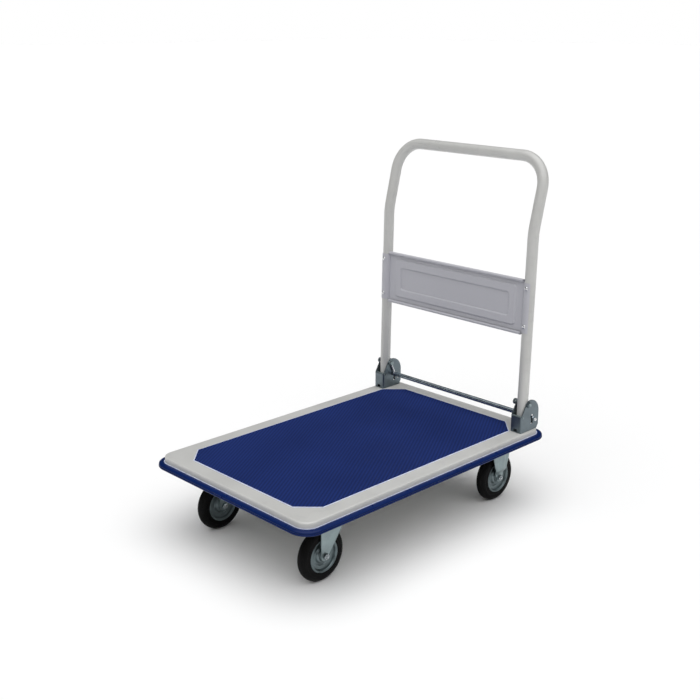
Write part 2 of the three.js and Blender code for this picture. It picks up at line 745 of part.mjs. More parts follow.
const PLATE_HALF_X = 50;
const PLATE_HALF_Y = 42.5;
const PLATE_SHEET = 3.5;
const PLATE_BOLT_X = 40;
const PLATE_BOLT_Y = 32;
const PLATE_Z = CASTER_HEIGHT - WHEEL_RADIUS; // top of the plate above the axle
const CROWN_TOP = 87.5;
const CROWN_SHEET = 3;
const CROWN_RADIUS = 38;
const KINGPIN_RADIUS = 6;
const FOOT_RADIUS = 10.3; // the round end of each fork leg

function casterPlate(centreX) {
  const shape = roundedRectangle(PLATE_HALF_X, PLATE_HALF_Y, 8);
  for (const x of [-PLATE_BOLT_X, PLATE_BOLT_X]) {
    for (const y of [-PLATE_BOLT_Y, PLATE_BOLT_Y]) {
      const hole = new THREE.Path();
      hole.absarc(x, y, 4.5, 0, 2 * Math.PI);
      shape.holes.push(hole);
    }
  }
  return new THREE.ExtrudeGeometry(shape, { depth: PLATE_SHEET, bevelEnabled: false, curveSegments: 4 })
    .translate(centreX, 0, PLATE_Z - PLATE_SHEET);
}

// A ring about a vertical axis at x, from [radius, height] points.
function uprightRing(profile, x, segments = 16) {
  return turnedAboutY(profile, segments).rotateX(Math.PI / 2).translate(x, 0, 0);
}

function swivelPlate() {
  const under = PLATE_Z - PLATE_SHEET;
  const cup = uprightRing([[32, under + 1], [32, 91], [35, 91], [35, under + 1]], SWIVEL_OFFSET);
  const boss = barAlongZ(13, SWIVEL_OFFSET, 0, 91, under + 1);
  const bore = barAlongZ(KINGPIN_RADIUS + 0.2, SWIVEL_OFFSET, 0, 80, PLATE_Z + 1);
  return combine([casterPlate(SWIVEL_OFFSET), cup, boss], [bore]);
}

function kingpin() {
  const head = barAlongZ(11, SWIVEL_OFFSET, 0, 77, CROWN_TOP - CROWN_SHEET - 0.5);
  const shank = barAlongZ(KINGPIN_RADIUS, SWIVEL_OFFSET, 0, 78, PLATE_Z);
  return combine([head, shank]);
}

function swivelLeg() {
  const crownEdge = SWIVEL_OFFSET + CROWN_RADIUS - 3;
  const front = -12.5;
  const shape = new THREE.Shape();
  shape.moveTo(front, CROWN_TOP);
  shape.lineTo(front, 0);
  shape.absarc(front + FOOT_RADIUS, 0, FOOT_RADIUS, Math.PI, 2 * Math.PI);
  shape.lineTo(48, 53.5);
  shape.quadraticCurveTo(crownEdge, 66, crownEdge, 76);
  shape.lineTo(crownEdge, CROWN_TOP);
  shape.closePath();
  return shape;
}

function swivelFork() {
  const legs = [plateInXZ(swivelLeg(), FORK_INNER, FORK_OUTER), plateInXZ(swivelLeg(), -FORK_OUTER, -FORK_INNER)];
  const crown = barAlongZ(CROWN_RADIUS, SWIVEL_OFFSET, 0, CROWN_TOP - CROWN_SHEET, CROWN_TOP, 24);
  const race = uprightRing([[18, CROWN_TOP - 1], [29, CROWN_TOP - 1], [29, 94], [18, 94]], SWIVEL_OFFSET);
  const bores = [
    barAlongZ(KINGPIN_RADIUS + 0.4, SWIVEL_OFFSET, 0, CROWN_TOP - 10, CROWN_TOP + 10),
    barAlongY(AXLE_RADIUS + 0.2, 60, 0, 0, 0),
  ];
  return combine([crown, ...legs, race], bores);
}

const FIXED_SPREAD = 24.5; // outer face of the fixed fork's legs, above the axle boss

// The fixed fork's leg, seen along X: spread above, pressed in to the hub below.
function fixedLegProfile(sign) {
  const top = PLATE_Z - 1;
  const points = [
    [FIXED_SPREAD, top],
    [FIXED_SPREAD, 22],
    [FORK_OUTER, 12],
    [FORK_OUTER, -12],
    [FORK_INNER, -12],
    [FORK_INNER, 13],
    [FIXED_SPREAD - FORK_SHEET, 23],
    [FIXED_SPREAD - FORK_SHEET, top],
  ].map(([y, z]) => [sign * y, z]);
  return outline(sign > 0 ? points.reverse() : points);
}

// The same leg seen along Y: wide at the plate, tapering to a round end at the axle.
function fixedLegOutline() {
  const shape = new THREE.Shape();
  shape.moveTo(-36, PLATE_Z);
  shape.lineTo(-30, 55);
  shape.lineTo(-FOOT_RADIUS, 0);
  shape.absarc(0, 0, FOOT_RADIUS, Math.PI, 2 * Math.PI);
  shape.lineTo(30, 55);
  shape.lineTo(36, PLATE_Z);
  shape.closePath();
  return shape;
}

function fixedFork() {
  const legs = [-1, 1].map((sign) =>
    intersection(barInYZ(fixedLegProfile(sign), -60, 60), plateInXZ(fixedLegOutline(), -40, 40)));
  return combine([casterPlate(0), ...legs], [barAlongY(AXLE_RADIUS + 0.2, 60, 0, 0, 0)]);
}

function swivelCaster(side) {
  const prefix = `front_${side.name}`;
  const group = new THREE.Group();
  group.position.set(FRONT_AXLE_X, side.sign * CASTER_Y, WHEEL_RADIUS);
  group.add(
    named(`${prefix}_top_plate`, swivelPlate(), materials.zinc),
    named(`${prefix}_kingpin`, kingpin(), materials.zinc),
    named(`${prefix}_fork`, swivelFork(), materials.zinc),
    named(`${prefix}_axle_bolt`, axleBolt(-side.sign), materials.zinc),
    named(`${prefix}_axle_nut`, axleNut(-side.sign), materials.zinc),
    wheel(prefix),
  );
  return group;
}

function fixedCaster(side) {
  const prefix = `rear_${side.name}`;
  const group = new THREE.Group();
  group.position.set(REAR_AXLE_X, side.sign * CASTER_Y, WHEEL_RADIUS);
  group.add(
    named(`${prefix}_fork`, fixedFork(), materials.zinc),
    named(`${prefix}_axle_bolt`, axleBolt(-side.sign), materials.zinc),
    named(`${prefix}_axle_nut`, axleNut(-side.sign), materials.zinc),
    wheel(prefix),
  );
  return group;
}

// ---------------------------------------------------------------- assembly

const cart = new THREE.Group();
cart.name = "folding_platform_cart";
cart.add(deck(), handle(), named("foot_bar", footBar(), materials.darkZinc));
for (const side of SIDES) {
  cart.add(bracketAssembly(side), swivelCaster(side), fixedCaster(side));
}

export default cart;
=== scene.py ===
"""Folding platform cart: its surfaces, materials, floor, lights and camera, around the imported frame.

Metres, +Z up, +X to the handle end. A CAD node is either finished in place or replaced by a finer mesh
of the same size.
"""

import json
from math import acos, cos, degrees, hypot, pi, radians, sin, sqrt, tan

import bmesh
import bpy
from mathutils import Matrix, Vector


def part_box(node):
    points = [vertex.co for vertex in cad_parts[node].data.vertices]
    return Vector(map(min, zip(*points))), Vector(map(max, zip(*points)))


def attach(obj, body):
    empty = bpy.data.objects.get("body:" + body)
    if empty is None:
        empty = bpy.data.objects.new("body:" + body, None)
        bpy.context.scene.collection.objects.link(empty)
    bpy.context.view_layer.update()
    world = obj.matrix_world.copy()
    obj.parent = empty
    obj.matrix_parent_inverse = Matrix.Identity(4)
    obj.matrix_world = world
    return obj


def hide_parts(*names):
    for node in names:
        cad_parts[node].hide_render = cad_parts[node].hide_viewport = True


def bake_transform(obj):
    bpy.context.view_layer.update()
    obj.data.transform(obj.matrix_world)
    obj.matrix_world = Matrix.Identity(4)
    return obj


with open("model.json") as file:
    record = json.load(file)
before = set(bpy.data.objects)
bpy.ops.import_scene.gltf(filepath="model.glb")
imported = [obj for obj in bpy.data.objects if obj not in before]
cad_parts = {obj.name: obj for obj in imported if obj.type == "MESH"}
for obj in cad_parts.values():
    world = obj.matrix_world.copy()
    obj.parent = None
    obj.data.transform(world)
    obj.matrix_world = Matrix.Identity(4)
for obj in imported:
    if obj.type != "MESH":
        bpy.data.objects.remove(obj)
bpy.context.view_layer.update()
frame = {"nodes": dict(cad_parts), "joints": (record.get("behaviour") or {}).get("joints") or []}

JOINTS = {joint["name"]: joint for joint in frame["joints"]}
PIVOT = Vector(JOINTS["handle_fold"]["pos_m"])
CLEARANCE = 0.0003  # between parts that would touch
EDGE = 0.0004  # rounding of a sheet's cut edges
SIDES = (("left", 1), ("right", -1))


# ---------------------------------------------------------------- mesh helpers

def finish_mesh(name, bm, material, sharp=35):
    """Turns a bmesh into an object with smooth faces and sharp edges above an angle in degrees."""
    bmesh.ops.remove_doubles(bm, verts=bm.verts, dist=1e-6)
    bmesh.ops.recalc_face_normals(bm, faces=bm.faces)
    mesh = bpy.data.meshes.new(name)
    bm.to_mesh(mesh)
    bm.free()
    mesh.shade_smooth()
    mesh.set_sharp_from_angle(angle=radians(sharp))
    mesh.materials.append(material)
    piece = bpy.data.objects.new(name, mesh)
    bpy.context.scene.collection.objects.link(piece)
    return piece


def skin(bm, rings, closed=False, caps=(False, False)):
    """Joins rings of as many points each into a surface; closed joins the last ring to the first."""
    rows = [[bm.verts.new(point) for point in ring] for ring in rings]
    count = len(rows[0])
    pairs = list(zip(rows, rows[1:])) + ([(rows[-1], rows[0])] if closed else [])
    for lower, upper in pairs:
        for k in range(count):
            n = (k + 1) % count
            bm.faces.new((lower[k], lower[n], upper[n], upper[k]))
    if caps[0]:
        bm.faces.new(rows[0])
    if caps[1]:
        bm.faces.new(rows[-1])


def net(bm, rows):
    """Joins rows of as many vertices each into an open surface."""
    for lower, upper in zip(rows, rows[1:]):
        for k in range(len(lower) - 1):
            bm.faces.new((lower[k], lower[k + 1], upper[k + 1], upper[k]))


def steps(start, end, count):
    """Values from start to end, with as many equal gaps between them as count."""
    return [start + (end - start) * k / count for k in range(count + 1)]


def circle(count):
    """Directions all round, as (cosine, sine)."""
    return [(cos(2 * pi * k / count), sin(2 * pi * k / count)) for k in range(count)]


def turned(bm, profile, centre, axis="Y", segments=64, closed=True):
    """A profile of (radius, distance along the axis) points, turned about an axis through centre."""
    place = {"Y": lambda a, b, along: (b, along, a), "Z": lambda a, b, along: (a, b, along)}[axis]
    skin(bm, [[Vector(centre) + Vector(place(radius * c, radius * s, along)) for c, s in circle(segments)]
              for radius, along in profile], closed)


def lathe(name, profile, centre, material, axis="Y", segments=64, closed=True, sharp=35):
    bm = bmesh.new()
    turned(bm, profile, centre, axis, segments, closed)
    return finish_mesh(name, bm, material, sharp)


def arc(centre, radius, start, end, count):
    """Points of an arc in a plane, from start to end in degrees."""
    return [(centre[0] + radius * cos(radians(angle)), centre[1] + radius * sin(radians(angle)))
            for angle in steps(start, end, count)]


def mm(*points):
    """Profile points written in millimetres."""
    return [(a / 1000, b / 1000) for a, b in points]


def mirrored(half):
    """A profile of (radius, distance) points, and its mirror image back to where it starts."""
    return half + [(radius, -along) for radius, along in reversed(half)]


def lerp(a, b, t):
    return a + (b - a) * t


def smooth(t):
    """Rises from 0 to 1 as t does, level at both ends and beyond them."""
    t = min(1.0, max(0.0, t))
    return t * t * (3 - 2 * t)


def round_rectangle(half_x, half_y, corner, count):
    corners = (((1, 1), 0), ((-1, 1), 90), ((-1, -1), 180), ((1, -1), 270))
    return [
        point
        for (sx, sy), start in corners
        for point in arc((sx * (half_x - corner), sy * (half_y - corner)), corner, start, start + 90, count)
    ]


def flat_ring(half_x, half_y, corner, z, count):
    return [Vector((x, y, z)) for x, y in round_rectangle(half_x, half_y, corner, count)]


def path_tangents(path):
    """The direction of a path at each of its points."""
    return [(ahead - behind).normalized()
            for behind, ahead in zip([path[0], *path], [*path[1:], path[-1]])]


def tube_rings(path, radius, sides):
    """Rings across a path, turned as little as possible from one to the next."""
    tangents = path_tangents(path)
    normal = tangents[0].orthogonal().normalized()
    rings = []
    for point, tangent in zip(path, tangents):
        normal = (normal - tangent * normal.dot(tangent)).normalized()
        side = tangent.cross(normal)
        rings.append([point + radius * (normal * c + side * s) for c, s in circle(sides)])
    return rings


def prism(bm, outline, low, high, axis):
    """An outline given depth along an axis: (x, z) points along Y, or (x, y) along Z."""
    order = {"Y": lambda p, d: (p[0], d, p[1]), "Z": lambda p, d: (*p, d)}[axis]
    skin(bm, [[Vector(order(p, depth)) for p in outline] for depth in (low, high)], caps=(True, True))


def box(bm, low, high):
    prism(bm, [(low[0], low[1]), (high[0], low[1]), (high[0], high[1]), (low[0], high[1])],
          low[2], high[2], "Z")


def cylinder(bm, radius, centre, half_length, axis="Y", segments=32):
    turned(bm, [(0, -half_length), (radius, -half_length), (radius, half_length), (0, half_length)],
           centre, axis, segments, closed=False)


def settle(piece):
    """Applies the piece's modifiers to its mesh."""
    bpy.context.view_layer.update()
    graph = bpy.context.evaluated_depsgraph_get()
    mesh = bpy.data.meshes.new_from_object(piece.evaluated_get(graph), depsgraph=graph)
    piece.modifiers.clear()
    piece.data = mesh


def boolean(piece, operation, make_cutter, sharp=35):
    """Cuts, joins or keeps what is common with the solids that make_cutter draws."""
    bm = bmesh.new()
    make_cutter(bm)
    cutter = finish_mesh("cutter", bm, piece.data.materials[0])
    modifier = piece.modifiers.new("boolean", "BOOLEAN")
    modifier.operation = operation
    modifier.solver = "EXACT"
    modifier.use_self = True
    modifier.object = cutter
    settle(piece)
    bpy.data.objects.remove(cutter)
    piece.data.shade_smooth()
    piece.data.set_sharp_from_angle(angle=radians(sharp))


def thicken(piece, thickness):
    """Gives a sheet its thickness, half to each side of its middle surface."""
    sheet = piece.modifiers.new("sheet", "SOLIDIFY")
    sheet.thickness = thickness
    sheet.offset = 0
    settle(piece)
    piece.data.set_sharp_from_angle(angle=radians(50))


def soften(piece, width, segments=2, angle=35):
    """Rounds the piece's sharp edges."""
    bevel = piece.modifiers.new("bevel", "BEVEL")
    bevel.width = width
    bevel.segments = segments
    bevel.limit_method = "ANGLE"
    bevel.angle_limit = radians(angle)
    bevel.harden_normals = True


def middle_of(node):
    low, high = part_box(node)
    return (low + high) / 2


def show(piece, body, slot, *nodes):
    """Fixes a piece to its body, and puts it in the place of CAD nodes."""
    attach(piece, body)
    if nodes:
        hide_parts(*nodes)


# ---------------------------------------------------------------- materials

def color_ramp(nodes, links, value, stops):
    """Colours or grey levels along a value, from (position, colour) stops."""
    ramp = nodes.new("ShaderNodeValToRGB")
    elements = ramp.color_ramp.elements
    while len(elements) < len(stops):
        elements.new(0.5)
    for element, (position, color) in zip(elements, stops):
        element.position = position
        element.color = (*color, 1) if hasattr(color, "__len__") else (color, color, color, 1)
    links.new(value, ramp.inputs["Fac"])
    return ramp.outputs["Color"]


class Finish:
    """A Principled material, and the few textures that vary it over the surface."""

    def __init__(self, name, color, **sockets):
        self.material = bpy.data.materials.new(name)
        self.material.use_nodes = True
        self.nodes = self.material.node_tree.nodes
        self.links = self.material.node_tree.links
        self.shader = self.nodes["Principled BSDF"]
        self.shader.inputs["Base Color"].default_value = (*color, 1)
        for socket, value in sockets.items():
            self.shader.inputs[socket.replace("_", " ")].default_value = value
        self.place = self.nodes.new("ShaderNodeTexCoord").outputs["Object"]

    def texture(self, kind, scale, turn=0.0, stretch=(1, 1, 1)):
        """A texture over the object, turned about Z and stretched along the axes."""
        mapping = self.nodes.new("ShaderNodeMapping")
        mapping.inputs["Rotation"].default_value[2] = turn
        mapping.inputs["Scale"].default_value = [1 / s for s in stretch]
        texture = self.nodes.new(f"ShaderNodeTex{kind}")
        texture.inputs["Scale"].default_value = scale
        self.links.new(self.place, mapping.inputs["Vector"])
        self.links.new(mapping.outputs["Vector"], texture.inputs["Vector"])
        return texture

    def noise(self, scale, detail=3.0, stretch=(1, 1, 1)):
        """Noise with a scale in features per metre."""
        texture = self.texture("Noise", scale, stretch=stretch)
        texture.inputs["Detail"].default_value = detail
        return texture.outputs["Fac"]

    def waves(self, period, angle):
        """Parallel waves across a direction in the XY plane: 0 on the crest line, 1 half a period away."""
        return self.texture("Wave", pi / (10 * period), turn=-(pi / 2 + angle)).outputs["Fac"]

    def cells(self, scale):
        """Crystal-like cells, each with its own value."""
        separate = self.nodes.new("ShaderNodeSeparateColor")
        self.links.new(self.texture("Voronoi", scale).outputs["Color"], separate.inputs["Color"])
        return separate.outputs["Red"]

    def ramp(self, value, stops):
        return color_ramp(self.nodes, self.links, value, stops)

    def mix(self, first, second, amount):
        """The first colour, darkened by the second."""
        node = self.nodes.new("ShaderNodeMix")
        node.data_type = "RGBA"
        node.blend_type = "MULTIPLY"
        node.inputs[0].default_value = amount
        self.links.new(first, node.inputs[6])
        self.links.new(second, node.inputs[7])
        return node.outputs[2]

    def colour(self, output):
        self.links.new(output, self.shader.inputs["Base Color"])

    def rough(self, value, low, high):
        self.links.new(self.ramp(value, [(0.3, low), (0.7, high)]), self.shader.inputs["Roughness"])

    def bump(self, *layers):
        """Each layer is (height, strength, depth in metres)."""
        below = None
        for height, strength, depth in layers:
            node = self.nodes.new("ShaderNodeBump")
            node.inputs["Strength"].default_value = strength
            node.inputs["Distance"].default_value = depth
            self.links.new(height, node.inputs["Height"])
            if below:
                self.links.new(below, node.inputs["Normal"])
            below = node.outputs["Normal"]
        self.links.new(below, self.shader.inputs["Normal"])


RIB_ANGLE = radians(31.4)
RIB_PITCH = 0.0077


def shade(color, factor):
    return tuple(min(1.0, c * factor) for c in color)


def powder_coat(name, color, blotch=0.07, grime=0.3, roughness=(0.27, 0.37), gloss=0.25):
    """Stoved paint: a fine orange peel, faint cloudy handling marks and a soft gloss."""
    finish = Finish(name, color, Coat_Weight=gloss, Coat_Roughness=0.18)
    clouds = finish.noise(9, 5)
    smudges = finish.noise(38, 6, stretch=(1, 1, 0.5))
    base = finish.ramp(clouds, [(0.35, shade(color, 1 - blotch)), (0.6, color)])
    marks = finish.ramp(smudges, [(0.32, (0.86, 0.86, 0.87)), (0.45, (1, 1, 1))])
    finish.colour(finish.mix(base, marks, grime))
    finish.rough(clouds, *roughness)
    finish.bump((finish.noise(620, 2), 0.14, 0.0002), (finish.noise(90, 2), 0.05, 0.0006))
    return finish.material


def zinc_plate(name, color, roughness=(0.26, 0.46)):
    """Plated steel: small spangled cells, a cloudy passivated film and faint rolling lines."""
    finish = Finish(name, color, Metallic=0.92)
    film = finish.noise(34, 5)
    rolling = finish.noise(260, 3, stretch=(1, 1, 9))
    tint = finish.ramp(film, [(0.3, shade(color, 0.8)), (0.52, color), (0.72, shade(color, 1.2))])
    cells = finish.ramp(finish.cells(420), [(0, (0.9, 0.91, 0.92)), (1, (1, 1, 1))])
    finish.colour(finish.mix(tint, cells, 0.6))
    finish.rough(film, *roughness)
    finish.bump((rolling, 0.10, 0.0002), (finish.noise(900, 2), 0.08, 0.0001))
    return finish.material


def ribbed_sheet(name, color):
    """Rubber sheet of the deck mat, a little dusty, with painted shade darkening the grooves between its
    ribs.
    """
    finish = Finish(name, color, Specular_IOR_Level=0.12)
    clouds = finish.noise(6, 6)
    specks = finish.noise(240, 4)
    base = finish.ramp(clouds, [(0.3, shade(color, 0.9)), (0.7, shade(color, 1.1))])
    dusty = finish.mix(base, finish.ramp(specks, [(0.35, 0.86), (0.6, 1.0)]), 0.6)
    # painted shade: the colour darkens by up to 40% along each groove between the ribs
    grooves = finish.ramp(finish.waves(RIB_PITCH, RIB_ANGLE), [(0.25, 1.0), (0.85, 0.6)])
    finish.colour(finish.mix(dusty, grooves, 1.0))
    finish.rough(clouds, 0.56, 0.68)
    finish.bump((finish.noise(1300, 2), 0.2, 0.0002))
    return finish.material


def plain_finish(name, color, tones, roughness, noises, relief, stretch=(1, 1, 1), **sockets):
    """Three noises of (scale, detail): one tints the colour between two tones, one varies the gloss, and
    one raises a relief of (strength, depth in metres)."""
    finish = Finish(name, color, **sockets)
    tint, gloss, grain = noises
    finish.colour(finish.ramp(finish.noise(*tint), [(at, shade(color, factor)) for at, factor in tones]))
    finish.rough(finish.noise(*gloss), *roughness)
    finish.bump((finish.noise(*grain, stretch), *relief))
    return finish.material


def moulded_rubber(name, color):
    """Black moulded rubber with a fine grain and a little dust."""
    return plain_finish(name, color, [(0.4, 1), (0.75, 1.9)], (0.42, 0.62), [(30, 6), (60, 4), (1500, 3)],
                        (0.25, 0.0002), Specular_IOR_Level=0.07)


def extruded_vinyl(name, color):
    """Vinyl with drawn lines along the strip."""
    return plain_finish(name, color, [(0.3, 0.92), (0.7, 1.08)], (0.26, 0.36), [(14, 5), (40, 4), (260, 2)],
                        (0.05, 0.0002), stretch=(8, 8, 1), Specular_IOR_Level=0.12, Coat_Weight=0.06,
                        Coat_Roughness=0.12)


def plated_wire(name, color):
    return plain_finish(name, color, [(0.3, 0.85), (0.7, 1)], (0.18, 0.32), [(300, 3), (500, 2), (1200, 2)],
                        (0.1, 0.0001), Metallic=1.0)


def nylon(name, color):
    return plain_finish(name, color, [(0.3, 1), (0.7, 1.5)], (0.36, 0.52), [(120, 4), (200, 3), (1400, 2)],
                        (0.15, 0.0001))


PAINT = powder_coat("paint", (0.56, 0.56, 0.545))
PANEL_PAINT = powder_coat("panel_paint", (0.50, 0.50, 0.54), blotch=0.01, grime=0.03,
                          roughness=(0.42, 0.46), gloss=0.0)
MAT_RUBBER = ribbed_sheet("mat_rubber", (0.0105, 0.027, 0.144))
# painted highlight: a pale bluish colour standing in for the thin bright lines round the mat's edge and
# along the bumper's top
PAINTED_EDGE_HIGHLIGHT = nylon("pale_edging", (0.54, 0.58, 0.82))
BUMPER_VINYL = extruded_vinyl("bumper_vinyl", (0.0012, 0.013, 0.088))
ZINC = zinc_plate("zinc", (0.27, 0.33, 0.34))
# painted shade: a darker copy of the zinc for the rims, which sit in the deck's shadow
SHADED_RIM_ZINC = zinc_plate("rim_zinc", (0.17, 0.21, 0.22))
DARK_ZINC = zinc_plate("dark_zinc", (0.165, 0.20, 0.22), roughness=(0.3, 0.48))
BAR_ZINC = zinc_plate("bar_zinc", (0.36, 0.42, 0.47), roughness=(0.2, 0.3))
BRIGHT_ZINC = zinc_plate("bright_zinc", (0.42, 0.46, 0.48), roughness=(0.18, 0.32))
TYRE_RUBBER = moulded_rubber("tyre_rubber", (0.004, 0.004, 0.0042))
SEAL_RUBBER = moulded_rubber("seal_rubber", (0.01, 0.01, 0.011))
SPRING_WIRE = plated_wire("spring_wire", (0.68, 0.7, 0.72))
RIVET_METAL = plated_wire("rivet_metal", (0.82, 0.83, 0.84))
BUSH_NYLON = nylon("bush_nylon", (0.03, 0.03, 0.032))


# ---------------------------------------------------------------- fasteners

THREAD_PITCH = 0.00125
THREAD_DEPTH = 0.0006
BOLT_FLATS = 0.013
BOLT_HEAD = 0.0053
BOLT_RADIUS = 0.004
NUT_HEIGHT = 0.006
NUT_BORE = BOLT_RADIUS + 0.0001


def oriented(origin, axis):
    """A matrix that carries +Z to the axis, and the origin to a point."""
    turn = Vector((0, 0, 1)).rotation_difference(Vector(axis)).to_matrix().to_4x4()
    return Matrix.Translation(Vector(origin)) @ turn


def hexagon(bm, flats, height, origin, axis, bore=0.0, side_steps=4):
    """A hexagon head or nut, standing on its origin, with its corners chamfered at the top."""
    to_world = oriented(origin, axis)
    inner = 0.94 * flats / 2
    foot, shoulder, face, bore_top, bore_foot = [], [], [], [], []
    for k in range(6 * side_steps):
        angle = radians(60 * k / side_steps)
        off_flat = radians((60 * k / side_steps) % 60 - 30)
        reach = flats / 2 / cos(off_flat)
        drop = (reach - inner) * 0.6
        c, s = cos(angle), sin(angle)
        for ring, radius, z in ((foot, reach, 0), (shoulder, reach, height - drop), (face, inner, height),
                                (bore_top, bore, height), (bore_foot, bore, 0)):
            ring.append(to_world @ Vector((radius * c, radius * s, z)))
    if bore:
        skin(bm, [foot, shoulder, face, bore_top, bore_foot], closed=True)
    else:
        skin(bm, [foot, shoulder, face], caps=(True, True))


def spun(bm, profile, origin, axis, segments, closed=False):
    """A profile of (radius, height above the origin) points, turned about any axis."""
    to_world = oriented(origin, axis)
    skin(bm, [[to_world @ Vector((radius * c, radius * s, z)) for c, s in circle(segments)]
              for radius, z in profile], closed)


def washer(bore, radius, low, high, edge=EDGE):
    """The profile of a washer between two heights, its outer edges chamfered."""
    return [(bore, low), (radius - edge, low), (radius, low + edge), (radius, high - edge),
            (radius - edge, high), (bore, high)]


def thread(bm, radius, low, high, origin, axis):
    """A stud with thread rings and a chamfered end."""
    profile = [(0, low), (radius, low)]
    for k in range(max(1, int((high - low) / THREAD_PITCH) - 1)):
        z = low + (k + 0.5) * THREAD_PITCH
        profile += [(radius - THREAD_DEPTH, z), (radius, z + THREAD_PITCH / 2)]
    profile += [(radius - 0.0008, high), (0, high)]
    spun(bm, profile, origin, axis, 24)


def bolt(bm, seat, axis, length, radius=BOLT_RADIUS):
    """A hexagon head that stands on its seat, and its stud on the other side."""
    hexagon(bm, BOLT_FLATS, BOLT_HEAD, seat, axis)
    thread(bm, radius, 0, length, seat, -Vector(axis))


def y_ends(node, way):
    """A CAD node's two ends along Y, the one on the side of way first."""
    low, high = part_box(node)
    return (high.y, low.y) if way > 0 else (low.y, high.y)


# ---------------------------------------------------------------- deck

PAN_CORNER = 0.031
PAN_ROUND = 0.0035
PAN_SHEET = 0.0018
PAN_FLAT = 0.012  # how far inside the skirt the flat top starts
PAN_HEM = 0.0005
RIB_DEPTH = 0.0007
RIB_CUTS = 6
MAT_CHAMFER = 0.046
MAT_MARGIN = 0.0034
MAT_HIGHLIGHT_DROP = 0.0005  # how far the mat's pale painted highlight line lies below its top
HIGHLIGHT_LINE_WIDTH = 0.0020  # width of the pale painted highlight lines round the mat and along the bumper's top
BUMPER_CORNER = 0.046
BUMPER_JOINT_X = 0.06  # where the strip's two ends meet
BUMPER_SLIT = 0.0004


def deck_pan():
    low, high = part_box("deck_pan")
    bend = (PAN_ROUND, high.z - PAN_ROUND)
    profile = [(PAN_FLAT, high.z - PAN_SHEET), *arc(bend, PAN_ROUND - PAN_SHEET, 90, 180, 6),
               (PAN_SHEET, low.z + PAN_HEM), (PAN_SHEET - PAN_HEM, low.z), (PAN_HEM, low.z),
               (0, low.z + PAN_HEM), *arc(bend, PAN_ROUND, 180, 90, 10), (PAN_FLAT, high.z)]
    bm = bmesh.new()
    skin(bm, [flat_ring(high.x - inset, high.y - inset, PAN_CORNER - inset, z, 14) for inset, z in profile],
         caps=(True, True))
    show(finish_mesh("pan", bm, PAINT), "deck", "paint", "deck_pan")


def mat_outline(high, inset):
    """The mat's octagon, anticlockwise, moved in by an inset."""
    cut = MAT_CHAMFER - inset * (2 - sqrt(2))
    x, y = high.x - inset, high.y - inset
    return [Vector(p) for p in ((x, cut - y), (x, y - cut), (x - cut, y), (cut - x, y),
                                (-x, y - cut), (-x, cut - y), (cut - x, -y), (x - cut, -y))]


def rib_height(across):
    """Height of the ribbed top below its crest, from the distance across the ribs."""
    phase = (across / RIB_PITCH) % 1.0
    return -RIB_DEPTH * (0.5 - 0.5 * cos(2 * pi * phase)) ** 1.6


def deck_mat():
    low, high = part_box("deck_mat")
    bm = bmesh.new()
    outer, inner = mat_outline(high, 0), mat_outline(high, MAT_MARGIN)
    bm.faces.new([bm.verts.new((*p, high.z)) for p in inner])
    across = Vector((-sin(RIB_ANGLE), cos(RIB_ANGLE), 0))
    reach = max(across.to_2d().dot(p) for p in inner)
    step = RIB_PITCH / RIB_CUTS
    for k in range(-int(reach / step), int(reach / step) + 1):
        bmesh.ops.bisect_plane(bm, geom=bm.verts[:] + bm.edges[:] + bm.faces[:], dist=1e-7,
                               plane_co=across * (k * step), plane_no=across)
    rim = [e for e in bm.edges if e.is_boundary]
    rim_verts = {v for e in rim for v in e.verts}
    for vert in bm.verts:
        vert.co.z += rib_height(across.dot(vert.co)) if vert not in rim_verts else -RIB_DEPTH / 2
    # painted highlight: the step round the mat's top and the mat's side take the pale colour of a highlight
    # line
    highlight_z = high.z - MAT_HIGHLIGHT_DROP
    soft = 0.0003
    for inset, z, is_painted_highlight in ((HIGHLIGHT_LINE_WIDTH + 0.0004, high.z - 0.0002, False), (HIGHLIGHT_LINE_WIDTH, highlight_z - soft, False),
                                 (HIGHLIGHT_LINE_WIDTH, highlight_z, True), (soft, highlight_z, True),
                                 (0, highlight_z - soft, True), (0, low.z, True)):
        made = bmesh.ops.extrude_edge_only(bm, edges=rim)["geom"]
        rim = [g for g in made if isinstance(g, bmesh.types.BMEdge) and g.is_boundary]
        for face in (g for g in made if isinstance(g, bmesh.types.BMFace)):
            face.material_index = int(is_painted_highlight)
        for vert in {v for e in rim for v in e.verts}:
            vert.co = Vector((*toward(vert.co.to_2d(), outer, inset), z))
    bmesh.ops.contextual_create(bm, geom=rim)
    mat = finish_mesh("mat", bm, MAT_RUBBER, sharp=60)
    mat.data.materials.append(PAINTED_EDGE_HIGHLIGHT)
    show(mat, "deck", "mat", "deck_mat")


def toward(point, outline, inset):
    """A point near a convex outline, moved straight out to lie an inset inside its nearest sides."""
    moved = point.copy()
    for _ in range(2):
        for a, b in zip(outline, outline[1:] + outline[:1]):
            along = (b - a).normalized()
            outward = Vector((along.y, -along.x))
            depth = -(moved - a).dot(outward)
            if depth < MAT_MARGIN * 1.01:
                moved += outward * (depth - inset)
    return moved


